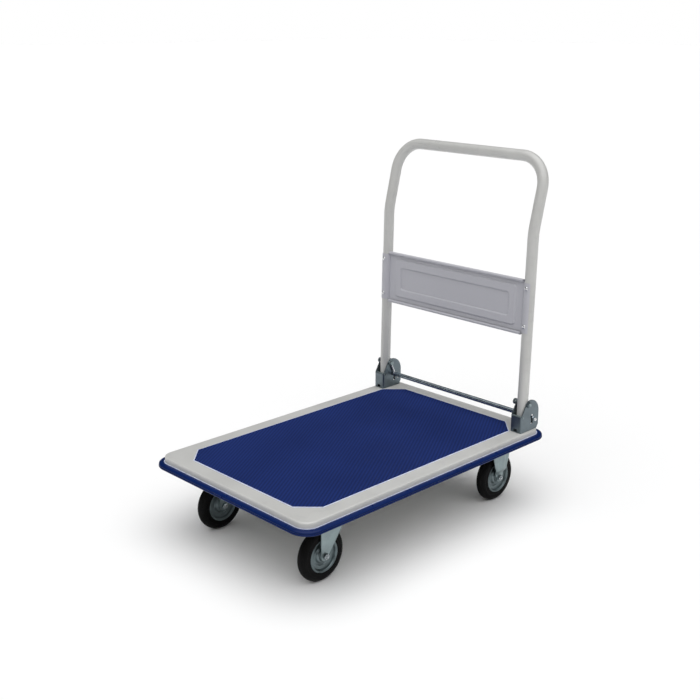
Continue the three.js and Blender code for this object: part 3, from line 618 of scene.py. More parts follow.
def bumper_strip():
    """A D section, given as (out from the skirt, up) shares of its size, with a groove and a top lip in a
    pale colour that paints a highlight line.
    """
    low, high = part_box("bumper_strip")
    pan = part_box("deck_pan")[1]
    lip = HIGHLIGHT_LINE_WIDTH / (high.x - pan.x)
    section = [(0, 0.04), (0.45, 0), (0.78, 0.03), (0.93, 0.10), (0.99, 0.21), (1, 0.30), (0.985, 0.38),
               (0.945, 0.43), (0.905, 0.455), (0.885, 0.475), (0.9, 0.495), (0.94, 0.53), (0.965, 0.6),
               (0.955, 0.69), (0.9, 0.79), (0.8, 0.88), (0.65, 0.95), (0.48, 0.985), (0.34, 0.985),
               (lip + 0.06, 0.965), (lip + 0.02, 0.955), (lip + 0.01, 0.97), (lip, 1), (0.02, 1), (0, 0.98)]
    # painted highlight: the lip rows at the top of the section take the pale colour of a highlight line
    pale = range(len(section) - 4, len(section) - 1)
    rings = [flat_ring(lerp(pan.x + CLEARANCE, high.x, out), lerp(pan.y + CLEARANCE, high.y, out),
                       lerp(PAN_CORNER + CLEARANCE, BUMPER_CORNER, out), lerp(low.z, high.z, up), 16)
             for out, up in section]
    bm = bmesh.new()
    skin(bm, rings, closed=True)
    for k, face in enumerate(bm.faces):
        face.material_index = int(k // len(rings[0]) in pale)
    strip = finish_mesh("bumper", bm, BUMPER_VINYL, sharp=50)
    strip.data.materials.append(PAINTED_EDGE_HIGHLIGHT)
    boolean(strip, "DIFFERENCE", lambda cut: box(
        cut, (BUMPER_JOINT_X - BUMPER_SLIT, -high.y - 0.01, low.z - 0.01),
        (BUMPER_JOINT_X + BUMPER_SLIT, -pan.y - 0.003, high.z + 0.01)), sharp=50)
    show(strip, "deck", "bumper", "bumper_strip")


def finish_under_deck():
    """The channels under the deck keep their CAD shape, with softened bends."""
    for name in ("cross_channel_front", "cross_channel_rear", "stiffener_left", "stiffener_right"):
        node = frame["nodes"][name]
        node.data.materials.clear()
        node.data.materials.append(PAINT)
        soften(node, 0.0012, segments=3)


# ---------------------------------------------------------------- handle

BAR_CENTRE = middle_of("foot_bar")
BAR_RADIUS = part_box("foot_bar")[1].z - BAR_CENTRE.z
HANDLE_LEAN = radians(1.26)
HANDLE_FRAME = Matrix.Translation(PIVOT) @ Matrix.Rotation(HANDLE_LEAN, 4, "Y")
TUBE_RADIUS = 0.0135
TUBE_WALL = 0.0016
HANDLE_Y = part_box("handle_tube")[1].y - TUBE_RADIUS
BEND_Z = 0.425
BEND_ANGLE = radians(12.8)
BEND_RADIUS = 0.150
TOP_RISE = 0.177
CORNER_RADIUS = 0.072


def tail_radius():
    """The tube's ends are cut round the pivot, just clear of the foot bar."""
    return hypot(BAR_CENTRE.x - PIVOT.x, BAR_CENTRE.z - PIVOT.z) - BAR_RADIUS - 0.0008


def bent_line(corners, radii, counts):
    """Points along a line with its corners rounded."""
    points = [corners[0]]
    for before, corner, after, radius, count in zip(corners, corners[1:], corners[2:], radii, counts):
        into, away = (corner - before).normalized(), (after - corner).normalized()
        turn = into.angle(away)
        axis = into.cross(away).normalized()
        arm = axis.cross(into)
        centre = corner - into * radius * tan(turn / 2) + arm * radius
        points += [centre + Matrix.Rotation(angle, 3, axis) @ (-arm * radius)
                   for angle in steps(0, turn, count)]
    return points + [corners[-1]]


def handle_tube():
    top_x, top_z = TOP_RISE * sin(BEND_ANGLE), BEND_Z + TOP_RISE * cos(BEND_ANGLE)
    tail = tail_radius()
    corners = [Vector(p) for p in (
        (0, HANDLE_Y, -tail), (0, HANDLE_Y, BEND_Z), (top_x, HANDLE_Y, top_z),
        (top_x, -HANDLE_Y, top_z), (0, -HANDLE_Y, BEND_Z), (0, -HANDLE_Y, -tail))]
    path = bent_line(corners, [BEND_RADIUS, CORNER_RADIUS, CORNER_RADIUS, BEND_RADIUS], [8, 24, 24, 8])
    outer = tube_rings(path, TUBE_RADIUS, 48)
    inner = tube_rings(path, TUBE_RADIUS - TUBE_WALL, 48)
    for ring in (outer[0], outer[-1], inner[0], inner[-1]):
        for point in ring:
            point.z = -sqrt(tail ** 2 - point.x ** 2)
    bm = bmesh.new()
    skin(bm, outer + inner[::-1], closed=True)
    tube = finish_mesh("handle_frame", bm, PAINT)

    def bolt_holes(cut):
        for _, sign in SIDES:
            cylinder(cut, BOLT_RADIUS + 0.0003, (0, sign * HANDLE_Y, 0), 0.03)

    boolean(tube, "DIFFERENCE", bolt_holes)
    tube.data.transform(HANDLE_FRAME)
    soften(tube, EDGE)
    show(tube, "handle", "paint", "handle_tube")


PANEL_SHEET = 0.0014
PANEL_LOW = 0.174
PANEL_HIGH = 0.3125
PANEL_FACE_X = -0.005
PANEL_WRAP_INSET = 0.0075
PANEL_WRAP = TUBE_RADIUS + 0.0003
WRAP_PAST_FRONT = 38
BEAD_RADIUS = 0.0033
RAISED = {"half_y": 0.199, "low": 0.1943, "high": 0.294, "corner": 0.008, "step": 0.0031}
RECESS = {"half_y": 0.180, "low": 0.214, "high": 0.2733, "corner": 0.007, "step": -0.0027}
PRESS_EDGE = 0.0013  # half the width of each pressed step
PANEL_GRID = 0.0012
RIVET_RADIUS = 0.0024
RIVET_GRIP = 0.0018  # from a rivet's rear end to the face under its head


def pressed(area, y, z):
    """How far a pressed rectangle pushes the sheet forward at a point."""
    half_z = (area["high"] - area["low"]) / 2
    dy = abs(y) - (area["half_y"] - area["corner"])
    dz = abs(z - (area["high"] + area["low"]) / 2) - (half_z - area["corner"])
    outside = hypot(max(dy, 0), max(dz, 0)) + min(max(dy, dz), 0) - area["corner"]
    return area["step"] * smooth(0.5 - outside / (2 * PRESS_EDGE))


def handle_panel():
    """One pressed sheet, modelled as its middle surface and then given its thickness."""
    face = PANEL_FACE_X + PANEL_SHEET / 2
    wrap = PANEL_WRAP + PANEL_SHEET / 2
    crease = degrees(acos(-face / wrap))
    edge_y = HANDLE_Y - wrap * sin(radians(crease))
    flat = [(face, y) for y in steps(-edge_y, edge_y, int(2 * edge_y / PANEL_GRID))]
    past = arc((0, HANDLE_Y), wrap, 180 + crease, 180 - WRAP_PAST_FRONT, 16)[1:]
    plan = [(x, -y) for x, y in reversed(past)] + flat + past
    low, high = PANEL_LOW + PANEL_WRAP_INSET, PANEL_HIGH - PANEL_WRAP_INSET
    bead_rise = PANEL_SHEET / 2 + BEAD_RADIUS
    curl = arc((-BEAD_RADIUS, 0), BEAD_RADIUS, 0, 255, 16)

    bm = bmesh.new()
    sheet = []
    for z in steps(low, high, int((high - low) / PANEL_GRID)):
        push = [pressed(RAISED, y, z) + pressed(RECESS, y, z) if abs(y) < edge_y else 0 for _, y in plan]
        sheet.append([bm.verts.new((x - out, y, z)) for (x, y), out in zip(plan, push)])
    middle = slice(len(past), len(past) + len(flat))
    net(bm, sheet)
    for row, edge_z, way in ((sheet[-1], PANEL_HIGH, 1), (sheet[0], PANEL_LOW, -1)):
        bead = [[bm.verts.new((face + dx, y, edge_z + way * (dz - bead_rise))) for _, y in flat]
                for dx, dz in curl]
        net(bm, [row[middle], *bead])
    panel = finish_mesh("panel", bm, PANEL_PAINT, sharp=60)
    thicken(panel, PANEL_SHEET)
    panel.data.transform(HANDLE_FRAME)
    show(panel, "handle", "panel_paint", "handle_panel")


def panel_rivets():
    """Pop rivets: a domed head with the broken stem sunk in its middle."""
    profile = [(share * RIVET_RADIUS, rise / 1000) for share, rise in (
        (0, 0), (2, 0), (2, 0.3), (1.75, 1.1), (1.3, 1.7), (0.75, 1.9), (0.62, 1.7), (0.55, 0.9),
        (0.4, 0.8), (0, 1))]
    for side, _ in SIDES:
        for level in ("lower", "upper"):
            node = f"panel_rivet_{side}_{level}"
            middle = middle_of(node)
            base = (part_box(node)[1].x - RIVET_GRIP, middle.y, middle.z)
            bm = bmesh.new()
            spun(bm, profile, base, (-1, 0, 0), 32)
            show(finish_mesh(f"rivet_{side}_{level}", bm, RIVET_METAL), "handle", "zinc", node)


# ---------------------------------------------------------------- handle brackets and foot bar

BRACKET_SHEET = 0.0022
BRACKET_BEND = 0.0036
BRACKET_DOME = 0.036
WEB_HEIGHT = 0.0412
REAR_WALL = 0.024  # height of the low wall that closes the bracket behind
DRAIN = (0.006, 0.009)  # half width and top of the opening at the foot of the web
SPIGOT_RADIUS = 0.0032
KEYHOLE_RADIUS = 0.006
STOP_PIN_HOLE = 0.00315
BAR_TRAVEL = JOINTS["foot_bar_press"]["range_m"][1]
PAST = 0.004  # how far a cutter reaches past what it cuts


def bracket_outline(low, high):
    """The side plate seen along Y: a domed rear and top, and a sloping front above the web."""
    x0, x1, z0, z1 = low.x, high.x, low.z, high.z
    start, bend, end = (Vector(p) for p in ((x1 - BRACKET_DOME, z1), (x0 + 0.021, z1 - 0.001),
                                            (x0 + 0.016, z1 - 0.014)))
    shoulder = [tuple(start * (1 - t) ** 2 + bend * 2 * t * (1 - t) + end * t * t)
                for t in steps(0, 1, 10)[1:]]
    return [(x0, z0), (x1 - 0.006, z0), (x1, z0 + 0.010),
            *arc((x1 - BRACKET_DOME, z1 - BRACKET_DOME), BRACKET_DOME, 0, 90, 20),
            *shoulder, (x0 + 0.001, z0 + WEB_HEIGHT), (x0, z0 + WEB_HEIGHT)]


def bracket_plan(front, rear, middle, half, bend, count):
    """Square behind and rounded in front."""
    return [(rear, middle - half), (rear, middle + half),
            *arc((front + bend, middle + half - bend), bend, 90, 180, count),
            *arc((front + bend, middle - half + bend), bend, 180, 270, count)]


def bracket(side):
    low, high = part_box(f"bracket_{side}")
    middle, half = (low.y + high.y) / 2, (high.y - low.y) / 2
    inner = half - BRACKET_SHEET
    bm = bmesh.new()
    prism(bm, bracket_outline(low, high), middle - half, middle + half, "Y")
    part = finish_mesh(f"bracket_plate_{side}", bm, DARK_ZINC)

    def rounded_front(common):
        plan = bracket_plan(low.x, high.x + PAST, middle, half, BRACKET_BEND, 6)
        prism(common, plan, low.z - PAST, high.z + PAST, "Z")

    def cavity(base, rear):
        plan = bracket_plan(low.x + BRACKET_SHEET, rear, middle, inner, BRACKET_BEND - BRACKET_SHEET, 5)
        return lambda cut: prism(cut, plan, base, high.z + PAST, "Z")

    def holes(cut):
        stop, hold_down = middle_of(f"stop_pin_{side}"), middle_of(f"bracket_bolt_{side}")
        cylinder(cut, BOLT_RADIUS + 0.0002, (PIVOT.x, middle, PIVOT.z), half + PAST)
        cylinder(cut, STOP_PIN_HOLE, (stop.x, middle, stop.z), half + PAST)
        cylinder(cut, BOLT_RADIUS + 0.0002, (hold_down.x, middle, low.z), PAST, "Z")
        box(cut, (low.x - PAST, middle - DRAIN[0], low.z + BRACKET_SHEET),
            (low.x + BRACKET_SHEET + 0.001, middle + DRAIN[0], low.z + DRAIN[1]))
        box(cut, (low.x - PAST, middle - inner, low.z + WEB_HEIGHT),
            (low.x + 2 * BRACKET_BEND, middle + inner, high.z))

    def keyhole(low_z, radius):
        outline = (arc((BAR_CENTRE.x, BAR_CENTRE.z + CLEARANCE), radius, 0, 180, 14)
                   + arc((BAR_CENTRE.x, low_z), radius, 180, 360, 14))
        return lambda cut: prism(cut, outline, middle - half - PAST, middle + half + PAST, "Y")

    boolean(part, "INTERSECT", rounded_front)
    for cutter in (cavity(low.z + BRACKET_SHEET, high.x - BRACKET_SHEET),
                   cavity(low.z + REAR_WALL, high.x + PAST), holes,
                   keyhole(BAR_CENTRE.z - BAR_TRAVEL - CLEARANCE, SPIGOT_RADIUS + 0.0004),
                   keyhole(BAR_CENTRE.z, KEYHOLE_RADIUS)):
        boolean(part, "DIFFERENCE", cutter)
    soften(part, EDGE)
    show(part, "deck", "dark_zinc", f"bracket_{side}")


def bracket_fasteners(side, sign):
    low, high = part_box(f"bracket_{side}")
    middle, half = (low.y + high.y) / 2, (high.y - low.y) / 2

    inboard = Vector((0, -sign, 0))
    head_face, tip = y_ends(f"pivot_bolt_{side}", inboard.y)
    seat = Vector((PIVOT.x, head_face - inboard.y * BOLT_HEAD, PIVOT.z))
    bm = bmesh.new()
    bolt(bm, seat, inboard, abs(seat.y - tip))
    spun(bm, washer(BOLT_RADIUS - 0.0001, 0.0058, -0.0012, 0), seat, inboard, 32, closed=True)
    show(finish_mesh(f"pivot_bolt_part_{side}", bm, ZINC), "deck", "zinc", f"pivot_bolt_{side}")

    bm = bmesh.new()
    hexagon(bm, BOLT_FLATS, NUT_HEIGHT, (PIVOT.x, middle - inboard.y * (half + CLEARANCE), PIVOT.z),
            -inboard, bore=NUT_BORE)
    show(finish_mesh(f"pivot_nut_part_{side}", bm, DARK_ZINC), "deck", "zinc", f"pivot_nut_{side}")

    pin_low, pin_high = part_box(f"stop_pin_{side}")
    radius, reach = (pin_high.z - pin_low.z) / 2, (pin_high.y - pin_low.y) / 2
    profile = mirrored([(0, reach), (radius * 0.7, reach), (radius, reach - 0.0008)])
    show(lathe(f"stop_pin_part_{side}", profile, (pin_low + pin_high) / 2, ZINC, segments=32, closed=False),
         "deck", "zinc", f"stop_pin_{side}")

    hold_down = middle_of(f"bracket_bolt_{side}")
    bolt_low, bolt_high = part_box(f"bracket_bolt_{side}")
    hold_down.z = bolt_high.z - BOLT_HEAD
    bm = bmesh.new()
    bolt(bm, hold_down, (0, 0, 1), hold_down.z - bolt_low.z, BOLT_RADIUS - 0.0001)
    show(finish_mesh(f"hold_down_bolt_{side}", bm, BRIGHT_ZINC), "deck", "zinc", f"bracket_bolt_{side}")

    inside = half - BRACKET_SHEET - CLEARANCE
    halves = [(radius, half + CLEARANCE + rise) for radius, rise in
              mm((0, 2.5), (1.6, 2.3), (3, 1.8), (4.1, 1), (4.5, 0))]
    halves += [(0.0023, half + CLEARANCE), (0.0023, inside), (0.0056, inside), (0.006, inside - CLEARANCE)]
    show(lathe(f"spacer_{side}", mirrored(halves), middle_of(f"spacer_rivet_{side}"), RIVET_METAL,
               segments=40, closed=False), "deck", "zinc", f"spacer_rivet_{side}")


def foot_bar():
    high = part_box("foot_bar")[1]
    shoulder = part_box("bracket_left")[0].y - 2 * CLEARANCE
    half = [(0, high.y), (SPIGOT_RADIUS - 0.0007, high.y), (SPIGOT_RADIUS, high.y - 0.0007),
            (SPIGOT_RADIUS, shoulder), (BAR_RADIUS - 0.0009, shoulder), (BAR_RADIUS, shoulder - 0.0009)]
    bar = lathe("foot_bar_rod", mirrored(half), BAR_CENTRE, BAR_ZINC, segments=40, closed=False)
    show(bar, "foot_bar", "dark_zinc", "foot_bar")


def return_spring(side):
    """An extension spring: a hook round the pivot bolt, the close coil, a hook round the foot bar."""
    y = middle_of(f"return_spring_{side}").y
    wire, coil_radius, turns, sides = 0.0007, 0.0022, 14, 16
    top, foot = Vector((PIVOT.x, y, PIVOT.z)), Vector((BAR_CENTRE.x, y, BAR_CENTRE.z))
    down, across = (foot - top).normalized(), Vector((0, 1, 0))
    side_way = across.cross(down)
    top_hook, foot_hook = BOLT_RADIUS + wire + 0.0004, BAR_RADIUS + wire + 0.0002
    coil_start, coil_end = top_hook + 0.004, (foot - top).length - foot_hook - 0.004
    path = [top + top_hook * (side_way * cos(radians(angle)) - down * sin(radians(angle)))
            for angle in steps(-90, 175, 18)]
    for k, along in enumerate(steps(coil_start, coil_end, sides * turns)):
        angle = 2 * pi * k / sides
        path.append(top + down * along + coil_radius * (side_way * cos(angle) + across * sin(angle)))
    path += [foot - foot_hook * (side_way * cos(radians(angle)) + down * sin(radians(angle)))
             for angle in steps(175, -90, 18)]
    bm = bmesh.new()
    skin(bm, tube_rings(path, wire, 10), caps=(True, True))
    spring = finish_mesh(f"coil_{side}", bm, SPRING_WIRE)
    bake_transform(spring)
    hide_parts(f"return_spring_{side}")


# ---------------------------------------------------------------- wheels

def tyre(prefix, body, axle):
    """Tread with shallow shoulder grooves, rounded shoulders and a stepped side wall."""
    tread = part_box(f"{prefix}_tyre")[1].z - axle.z
    rim_seat = mm((35.8, 8.8), (37.4, 10.8), (40.4, 11.2), (40.9, 12.2))
    wall = mm((41.2, 12.9), (42.4, 13.2), (44.6, 13.2), (45.2, 12.7), (49.2, 12.6), (49.9, 13.1), (51.6, 13),
              (53.8, 12.35), (56, 11.3), (57.9, 10), (58.3, 9.45), (58.2, 9.1), (59, 8.8), (60.3, 7.5),
              (61.4, 5.6))
    crown = mm((61.3, 5.1), (61.85, 4.8), (62.3, 3)) + [(tread, 0.0012)]
    profile = mirrored(rim_seat + wall + crown)
    part = lathe(f"{prefix}_rubber", profile, axle, TYRE_RUBBER, segments=112, sharp=28)
    show(part, body, "tread_rubber", f"{prefix}_tyre")


def rim(prefix, side, sign, body, axle):
    """A pressed disc: a rolled lip, a deep wall, a flat ring, a groove round the hub and the hub."""
    lip = arc((0.0387, 0.01265), 0.00105, -10, 165, 10)
    face = mm((36.8, 12.9), (35.8, 12.4), (34.8, 11.2), (33.9, 9.2), (33.4, 7.4),
              (32.8, 6.6), (31.8, 6.4), (26.2, 6.8), (25.2, 6.6), (24.4, 5.8),
              (23.6, 4.9), (22.6, 4.6), (20.8, 4.7), (19.8, 5.2), (19, 6.4),
              (18.1, 8.2), (17.2, 9.1), (16, 9.4), (14, 9.6), (13.1, 10),
              (12.6, 11), (12.1, 13.6), (11.4, 14.3), (9.4, 14.3))
    back = mm((9.4, 13), (10.9, 12.9), (11.7, 8.8), (16.6, 7.9), (19.3, 3.6),
              (23.4, 3.4), (25.7, 5.5), (33, 5.3), (34.5, 7.8), (35.8, 10.6),
              (37.2, 11.7))
    profile = [(radius, sign * along) for radius, along in lip + face + back]
    # painted shade: the rims take the darker, shaded copy of the zinc
    part = lathe(f"{prefix}_disc_{side}", profile, axle, SHADED_RIM_ZINC, segments=96, sharp=40)
    show(part, body, "zinc", f"{prefix}_rim_{side}")


def hub(prefix, body, axle):
    low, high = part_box(f"{prefix}_hub_bush")
    half, outer = (high.y - low.y) / 2, (high.z - low.z) / 2
    profile = washer(BOLT_RADIUS + CLEARANCE, outer, -half, half, 0.0006)
    part = lathe(f"{prefix}_bush", profile, axle, BUSH_NYLON, segments=40)
    show(part, body, "hub_bush", f"{prefix}_hub_bush")


def wheel(prefix, body, axle):
    tyre(prefix, body, axle)
    for side, sign in SIDES:
        rim(prefix, side, sign, body, axle)
    hub(prefix, body, axle)


def axle_fasteners(prefix, body, axle, head_side):
    way = Vector((0, head_side, 0))
    head_face, tip = y_ends(f"{prefix}_axle_bolt", head_side)
    seat = Vector((axle.x, head_face - head_side * BOLT_HEAD, axle.z))
    bm = bmesh.new()
    bolt(bm, seat, way, abs(seat.y - tip))
    show(finish_mesh(f"{prefix}_bolt", bm, BRIGHT_ZINC), body, "zinc", f"{prefix}_axle_bolt")

    base = (axle.x, y_ends(f"{prefix}_axle_nut", head_side)[0], axle.z)
    bm = bmesh.new()
    hexagon(bm, BOLT_FLATS, NUT_HEIGHT - 0.0012, base, -way, bore=NUT_BORE)
    spun(bm, washer(NUT_BORE, 0.0054, NUT_HEIGHT - 0.0016, NUT_HEIGHT), base, -way, 32, closed=True)
    show(finish_mesh(f"{prefix}_nut", bm, BRIGHT_ZINC), body, "zinc", f"{prefix}_axle_nut")


# ---------------------------------------------------------------- casters

FORK_INNER = 0.0152
FORK_SHEET = 0.0025
FOOT_RADIUS = 0.0103
LEG_FRONT = -0.0125
PLATE_TOP = 0.1025  # above the axle
PLATE_SHEET = 0.0035
PLATE_HALF = (0.050, 0.0425)
PLATE_BOLTS = (0.040, 0.032)
CROWN_TOP = 0.0875
CROWN_RADIUS = 0.038
FIXED_SPREAD = 0.0245
FIXED_KNEE = 0.055  # the height above the axle where the fixed fork's taper changes
FIXED_HALF = 0.030  # and its half width there
SWIVEL_KNEE = 0.0535  # the same for the swivel fork's rear edge
SWIVEL_REAR = 0.048
SWIVEL_FLARE = 0.0225
FORK_COLUMNS = 36
PIN_BORE = 0.0062
BALLS = 28
BALL_PATH = 0.0305
BALL_HEIGHT = 0.0932
WASHER = 0.0016
CHANNEL_FLOOR = 0.0031  # how far above the plate the bolts' nuts stand
PLATE_BOLT_LENGTH = 0.019


def u_fork(name, line, edges, relief, axle):
    """A strip bent into a U. line is one half, foot to middle, as (y, z); edges gives the strip's (front,
    rear) at a point of it, and relief how far the sheet is pressed out there."""
    half = [Vector((0, y, z)) for y, z in line]
    whole = half + [Vector((0, -p.y, p.z)) for p in reversed(half[:-1])]
    rows = []
    bm = bmesh.new()
    for point, along in zip(whole, path_tangents(whole)):
        outward = Vector((0, along.z, -along.y))
        front, rear = edges(abs(point.y), point.z)
        rows.append([
            bm.verts.new(axle + point + Vector((lerp(front, rear, t), 0, 0))
                         + outward * relief(2 * t - 1, point.z))
            for t in steps(0, 1, FORK_COLUMNS)
        ])
    net(bm, rows)
    fork = finish_mesh(name, bm, ZINC, sharp=60)
    thicken(fork, FORK_SHEET)
    return fork


def foot_line(y):
    """The round foot of a leg, from its lowest point up to the axle's height."""
    return [(y, -FOOT_RADIUS * cos(radians(a))) for a in (6, 15, 25, 36, 48, 60, 72, 82, 90)]


def over_the_top(y, top, bend):
    """A U's line from the top of one leg, round the bend and on to the middle."""
    flat = [(across, top) for across in steps(y - bend, 0, 4)[1:]]
    return arc((y - bend, top - bend), bend, 0, 90, 6)[1:] + flat


def foot_half_width(z):
    return sqrt(max(0.0, FOOT_RADIUS ** 2 - z ** 2))


def caster_plate(bm, axle, offset):
    """The top plate with rounded corners; its four bolt holes are cut afterwards."""
    z0, z1 = axle.z + PLATE_TOP - PLATE_SHEET, axle.z + PLATE_TOP
    plan = round_rectangle(*PLATE_HALF, 0.008, 8)
    prism(bm, [(axle.x + offset + x, axle.y + y) for x, y in plan], z0, z1, "Z")


def bolt_places(axle, offset):
    """Where the plate's four bolts come out on top of it."""
    return [axle + Vector((offset + sx * PLATE_BOLTS[0], sy * PLATE_BOLTS[1], PLATE_TOP))
            for sx, sy in ((1, 1), (-1, 1), (-1, -1), (1, -1))]


def plate_bolts(prefix, axle, offset):
    """Four bolts up through the plate into the cross channel, each with a washer and a nut."""
    up = Vector((0, 0, 1))
    for k, place in enumerate(bolt_places(axle, offset)):
        under = place - PLATE_SHEET * up
        bm = bmesh.new()
        bolt(bm, under - WASHER * up, -up, PLATE_BOLT_LENGTH)
        spun(bm, washer(BOLT_RADIUS, 0.008, 0, WASHER - 0.0002), under, -up, 32, closed=True)
        hexagon(bm, BOLT_FLATS, NUT_HEIGHT, place + CHANNEL_FLOOR * up, up, bore=BOLT_RADIUS)
        show(finish_mesh(f"{prefix}_plate_bolt_{k + 1}", bm, BRIGHT_ZINC), "deck", "zinc")


def drilled(piece, axle, offset):
    """Cuts the plate's four bolt holes."""
    def holes(cut):
        for place in bolt_places(axle, offset):
            cylinder(cut, BOLT_RADIUS + 0.0005, place, 0.01, "Z")
    boolean(piece, "DIFFERENCE", holes)


def fittings(prefix, body, axle, offset, sign):
    """The axle bolt with its head inboard, the plate's bolts and the wheel."""
    axle_fasteners(prefix, body, axle, -sign)
    plate_bolts(prefix, axle, offset)
    wheel(prefix, f"{prefix}_wheel", axle)


def fixed_caster(side, sign):
    prefix = f"rear_{side}"
    axle = Vector(JOINTS[f"{prefix}_wheel_spin"]["pos_m"])
    middle = FORK_INNER + FORK_SHEET / 2
    spread = FIXED_SPREAD - FORK_SHEET / 2
    top = PLATE_TOP - PLATE_SHEET - FORK_SHEET / 2
    bend = 0.006
    joggle, joggle_end = 0.011, 0.024
    line = foot_line(middle) + [(middle, 0.006), (middle, joggle)]
    line += [(lerp(middle, spread, smooth(t)), lerp(joggle, joggle_end, t)) for t in steps(0, 1, 5)[1:]]
    line += [(spread, z) for z in steps(joggle_end, top - bend, 8)[1:]] + over_the_top(spread, top, bend)

    def edges(y, z):
        if z <= 0:
            reach = foot_half_width(z)
        elif z < FIXED_KNEE:
            reach = lerp(FOOT_RADIUS, FIXED_HALF, (z / FIXED_KNEE) ** 0.92)
        else:
            reach = lerp(FIXED_HALF, 0.036, (z - FIXED_KNEE) / (PLATE_TOP - FIXED_KNEE))
        return -reach, reach

    def relief(t, z):
        rib = 0.0016 * smooth((0.46 - abs(t)) / 0.16) * smooth((z - 0.016) / 0.014)
        turned_edge = -0.0022 * smooth((abs(t) - 0.84) / 0.16) * smooth((z - 0.004) / 0.02)
        fade = 1 - smooth((z - top + 0.014) / 0.01)
        return (rib + turned_edge) * fade

    fork = u_fork(f"{prefix}_fork_pressing", line, edges, relief, axle)
    boolean(fork, "UNION", lambda joined: caster_plate(joined, axle, 0))
    drilled(fork, axle, 0)
    soften(fork, EDGE)
    show(fork, "deck", "zinc", f"{prefix}_fork")
    fittings(prefix, "deck", axle, 0, sign)


def swivel_caster(side, sign):
    prefix = f"front_{side}"
    swivel = f"{prefix}_swivel"
    axle = Vector(JOINTS[f"{prefix}_wheel_spin"]["pos_m"])
    offset = JOINTS[f"{swivel}_turn"]["pos_m"][0] - axle.x
    pivot = axle + Vector((offset, 0, 0))
    under = PLATE_TOP - PLATE_SHEET
    middle = FORK_INNER + FORK_SHEET / 2
    top = CROWN_TOP - FORK_SHEET / 2
    bend = 0.005
    line = foot_line(middle) + [(middle, z) for z in steps(0, top - bend, 12)[1:]]
    line += over_the_top(middle, top, bend)
    crown_edge = offset + CROWN_RADIUS - 0.003
    foot = LEG_FRONT + FOOT_RADIUS

    def edges(y, z):
        if z <= 0:
            reach = foot_half_width(z)
            return foot - reach, foot + reach
        if z < SWIVEL_KNEE:
            return LEG_FRONT, lerp(foot + FOOT_RADIUS, SWIVEL_REAR, z / SWIVEL_KNEE)
        t = smooth(min(1, (z - SWIVEL_KNEE) / SWIVEL_FLARE) / 2) * 2
        rear = lerp(SWIVEL_REAR, crown_edge, t)
        if z < top - 0.001:
            return LEG_FRONT, rear
        reach = sqrt(CROWN_RADIUS ** 2 - y ** 2)
        return offset - reach, offset + reach

    def relief(t, z):
        turned_edge = 0.0012 * smooth((t - 0.86) / 0.14) * smooth((z - 0.012) / 0.02)
        return turned_edge * (1 - smooth((z - top + 0.02) / 0.01))

    fork = u_fork(f"{prefix}_fork_pressing", line, edges, relief, axle)

    def crown(joined):
        z = CROWN_TOP
        profile = [(0.0066, z - 0.003), (CROWN_RADIUS - 0.0012, z - 0.003), (CROWN_RADIUS, z - 0.0022),
                   (CROWN_RADIUS, z - 0.0007), (CROWN_RADIUS - 0.0008, z), (0.0292, z), (0.029, z + 0.0063),
                   (0.0283, z + 0.007), (0.018, z + 0.007), (0.018, z + 0.0002), (0.0066, z + 0.0002)]
        turned(joined, profile, pivot, "Z", 72)

    boolean(fork, "UNION", crown)
    soften(fork, EDGE)
    show(fork, swivel, "zinc", f"{prefix}_fork")

    bm = bmesh.new()
    caster_plate(bm, axle, offset)
    plate = finish_mesh(f"{prefix}_plate", bm, ZINC)

    into, lip, edge = under + 0.001, 0.091, 0.0916  # inside the plate, and the foot of the cup and boss
    race_cup = [(0.032, into), (0.032, edge), (0.0326, lip), (0.0344, lip), (0.035, edge),
                (0.035, under - 0.0016), (0.0362, under - EDGE), (0.0362, into)]
    boss = [(PIN_BORE, into), (PIN_BORE, lip), (0.0124, lip), (0.013, edge), (0.013, into)]
    boolean(plate, "UNION", lambda joined: turned(joined, race_cup, pivot, "Z", 72))
    boolean(plate, "UNION", lambda joined: turned(joined, boss, pivot, "Z", 48))
    boolean(plate, "DIFFERENCE",
            lambda cut: cylinder(cut, PIN_BORE, pivot + Vector((0, 0, under)), 0.02, "Z"))
    drilled(plate, axle, offset)
    soften(plate, EDGE)
    show(plate, "deck", "zinc", f"{prefix}_top_plate")

    bottom, head_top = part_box(f"{prefix}_kingpin")[0].z - axle.z, CROWN_TOP - 0.0035
    profile = [(0, bottom), (0.007, bottom), (0.0098, bottom + 0.0012), (0.011, bottom + 0.0034),
               (0.011, head_top - 0.0006), (0.0104, head_top), (0.006, head_top),
               (0.006, PLATE_TOP - 0.0006), (0.0054, PLATE_TOP), (0, PLATE_TOP)]
    pin = lathe(f"{prefix}_king_bolt", profile, pivot, BRIGHT_ZINC, "Z", 48, closed=False)
    show(pin, "deck", "zinc", f"{prefix}_kingpin")

    bm = bmesh.new()
    for x, y in arc((0, 0), BALL_PATH, 0, 360, BALLS)[1:]:
        centre = pivot + Vector((x, y, BALL_HEIGHT))
        bmesh.ops.create_icosphere(bm, subdivisions=2, radius=0.0013, matrix=Matrix.Translation(centre))
    show(finish_mesh(f"{prefix}_bearing_balls", bm, BRIGHT_ZINC), swivel, "zinc")

    seal = mm((32.2, 88.2), (35.8, 87.9), (36.6, 88.4), (36.2, 89.6), (35.2, 90.4),
            (33, 90.6), (32.2, 90.2))
    show(lathe(f"{prefix}_dust_seal", seal, pivot, SEAL_RUBBER, "Z", 64), swivel, "hub_bush")

    fittings(prefix, swivel, axle, offset, sign)


# ---------------------------------------------------------------- floor, lights and camera

EYE = Vector((-1.7181, -1.7474, 1.1844))
YAW = radians(45.87)
PITCH = radians(-17.21)
LENS = 55.74


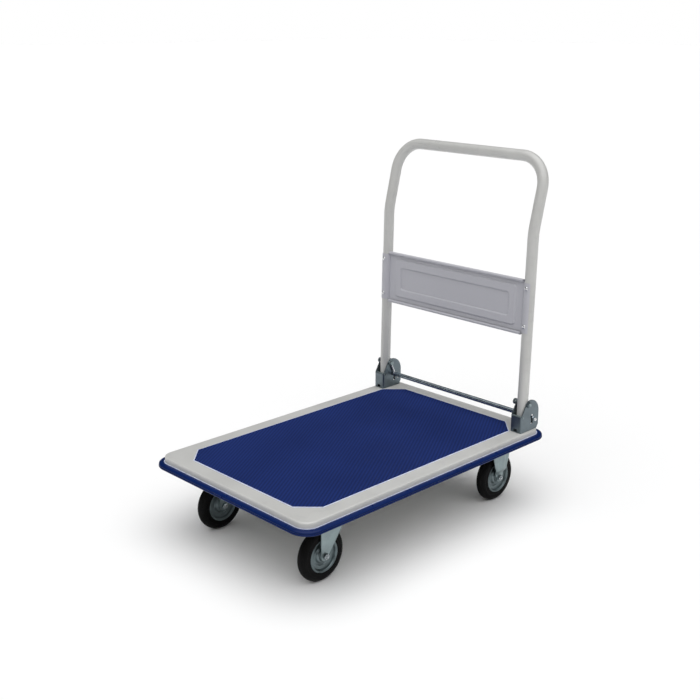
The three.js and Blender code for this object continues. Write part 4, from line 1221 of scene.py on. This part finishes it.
def camera():
    data = bpy.data.cameras.new("camera")
    data.lens = LENS
    data.sensor_width = 36
    piece = bpy.data.objects.new("camera", data)
    bpy.context.scene.collection.objects.link(piece)
    piece.location = EYE
    forward = Vector((cos(PITCH) * cos(YAW), cos(PITCH) * sin(YAW), sin(PITCH)))
    piece.rotation_mode = "QUATERNION"
    piece.rotation_quaternion = forward.to_track_quat("-Z", "Y")
    bpy.context.scene.camera = piece


def floor():
    bm = bmesh.new()
    bmesh.ops.create_grid(bm, x_segments=1, y_segments=1, size=40)
    white = Finish("floor", (0.93, 0.93, 0.93), Roughness=0.9, Specular_IOR_Level=0.0)
    white.colour(white.ramp(white.noise(0.5, 2), [(0.3, 0.925), (0.7, 0.935)]))
    finish_mesh("floor", bm, white.material)


ROOM = [(0.0, 0.02), (0.6, 0.02), (0.8, 0.06), (0.93, 1.0)]  # from the dark side to the bright
ROOM_STRENGTH = 2.3
LIGHT_FROM = Vector((-0.15, -0.2, 0.97)).normalized()  # the brightest part of the studio


def studio():
    """White to the camera; to the cart, a soft room that is bright above and behind the right side."""
    world = bpy.data.worlds.new("studio")
    bpy.context.scene.world = world
    world.use_nodes = True
    nodes, links = world.node_tree.nodes, world.node_tree.links
    direction = nodes.new("ShaderNodeTexCoord").outputs["Generated"]
    towards = nodes.new("ShaderNodeVectorMath")
    towards.operation = "DOT_PRODUCT"
    towards.inputs[1].default_value = LIGHT_FROM
    links.new(direction, towards.inputs[0])
    level = nodes.new("ShaderNodeMapRange")
    level.inputs["From Min"].default_value = -1
    links.new(towards.outputs["Value"], level.inputs["Value"])
    room = nodes["Background"]
    room.inputs["Strength"].default_value = ROOM_STRENGTH
    links.new(color_ramp(nodes, links, level.outputs["Result"], ROOM), room.inputs["Color"])
    backdrop = nodes.new("ShaderNodeBackground")
    backdrop.inputs["Color"].default_value = (1, 1, 1, 1)
    seen = nodes.new("ShaderNodeMixShader")
    links.new(nodes.new("ShaderNodeLightPath").outputs["Is Camera Ray"], seen.inputs[0])
    links.new(room.outputs["Background"], seen.inputs[1])
    links.new(backdrop.outputs["Background"], seen.inputs[2])
    links.new(seen.outputs["Shader"], nodes["World Output"].inputs["Surface"])
    bpy.context.scene.view_settings.view_transform = "Standard"


# ---------------------------------------------------------------- assembly

camera()
deck_pan()
deck_mat()
bumper_strip()
finish_under_deck()
handle_tube()
handle_panel()
panel_rivets()
foot_bar()
for side, sign in SIDES:
    bracket(side)
    bracket_fasteners(side, sign)
    return_spring(side)
    swivel_caster(side, sign)
    fixed_caster(side, sign)
floor()
studio()
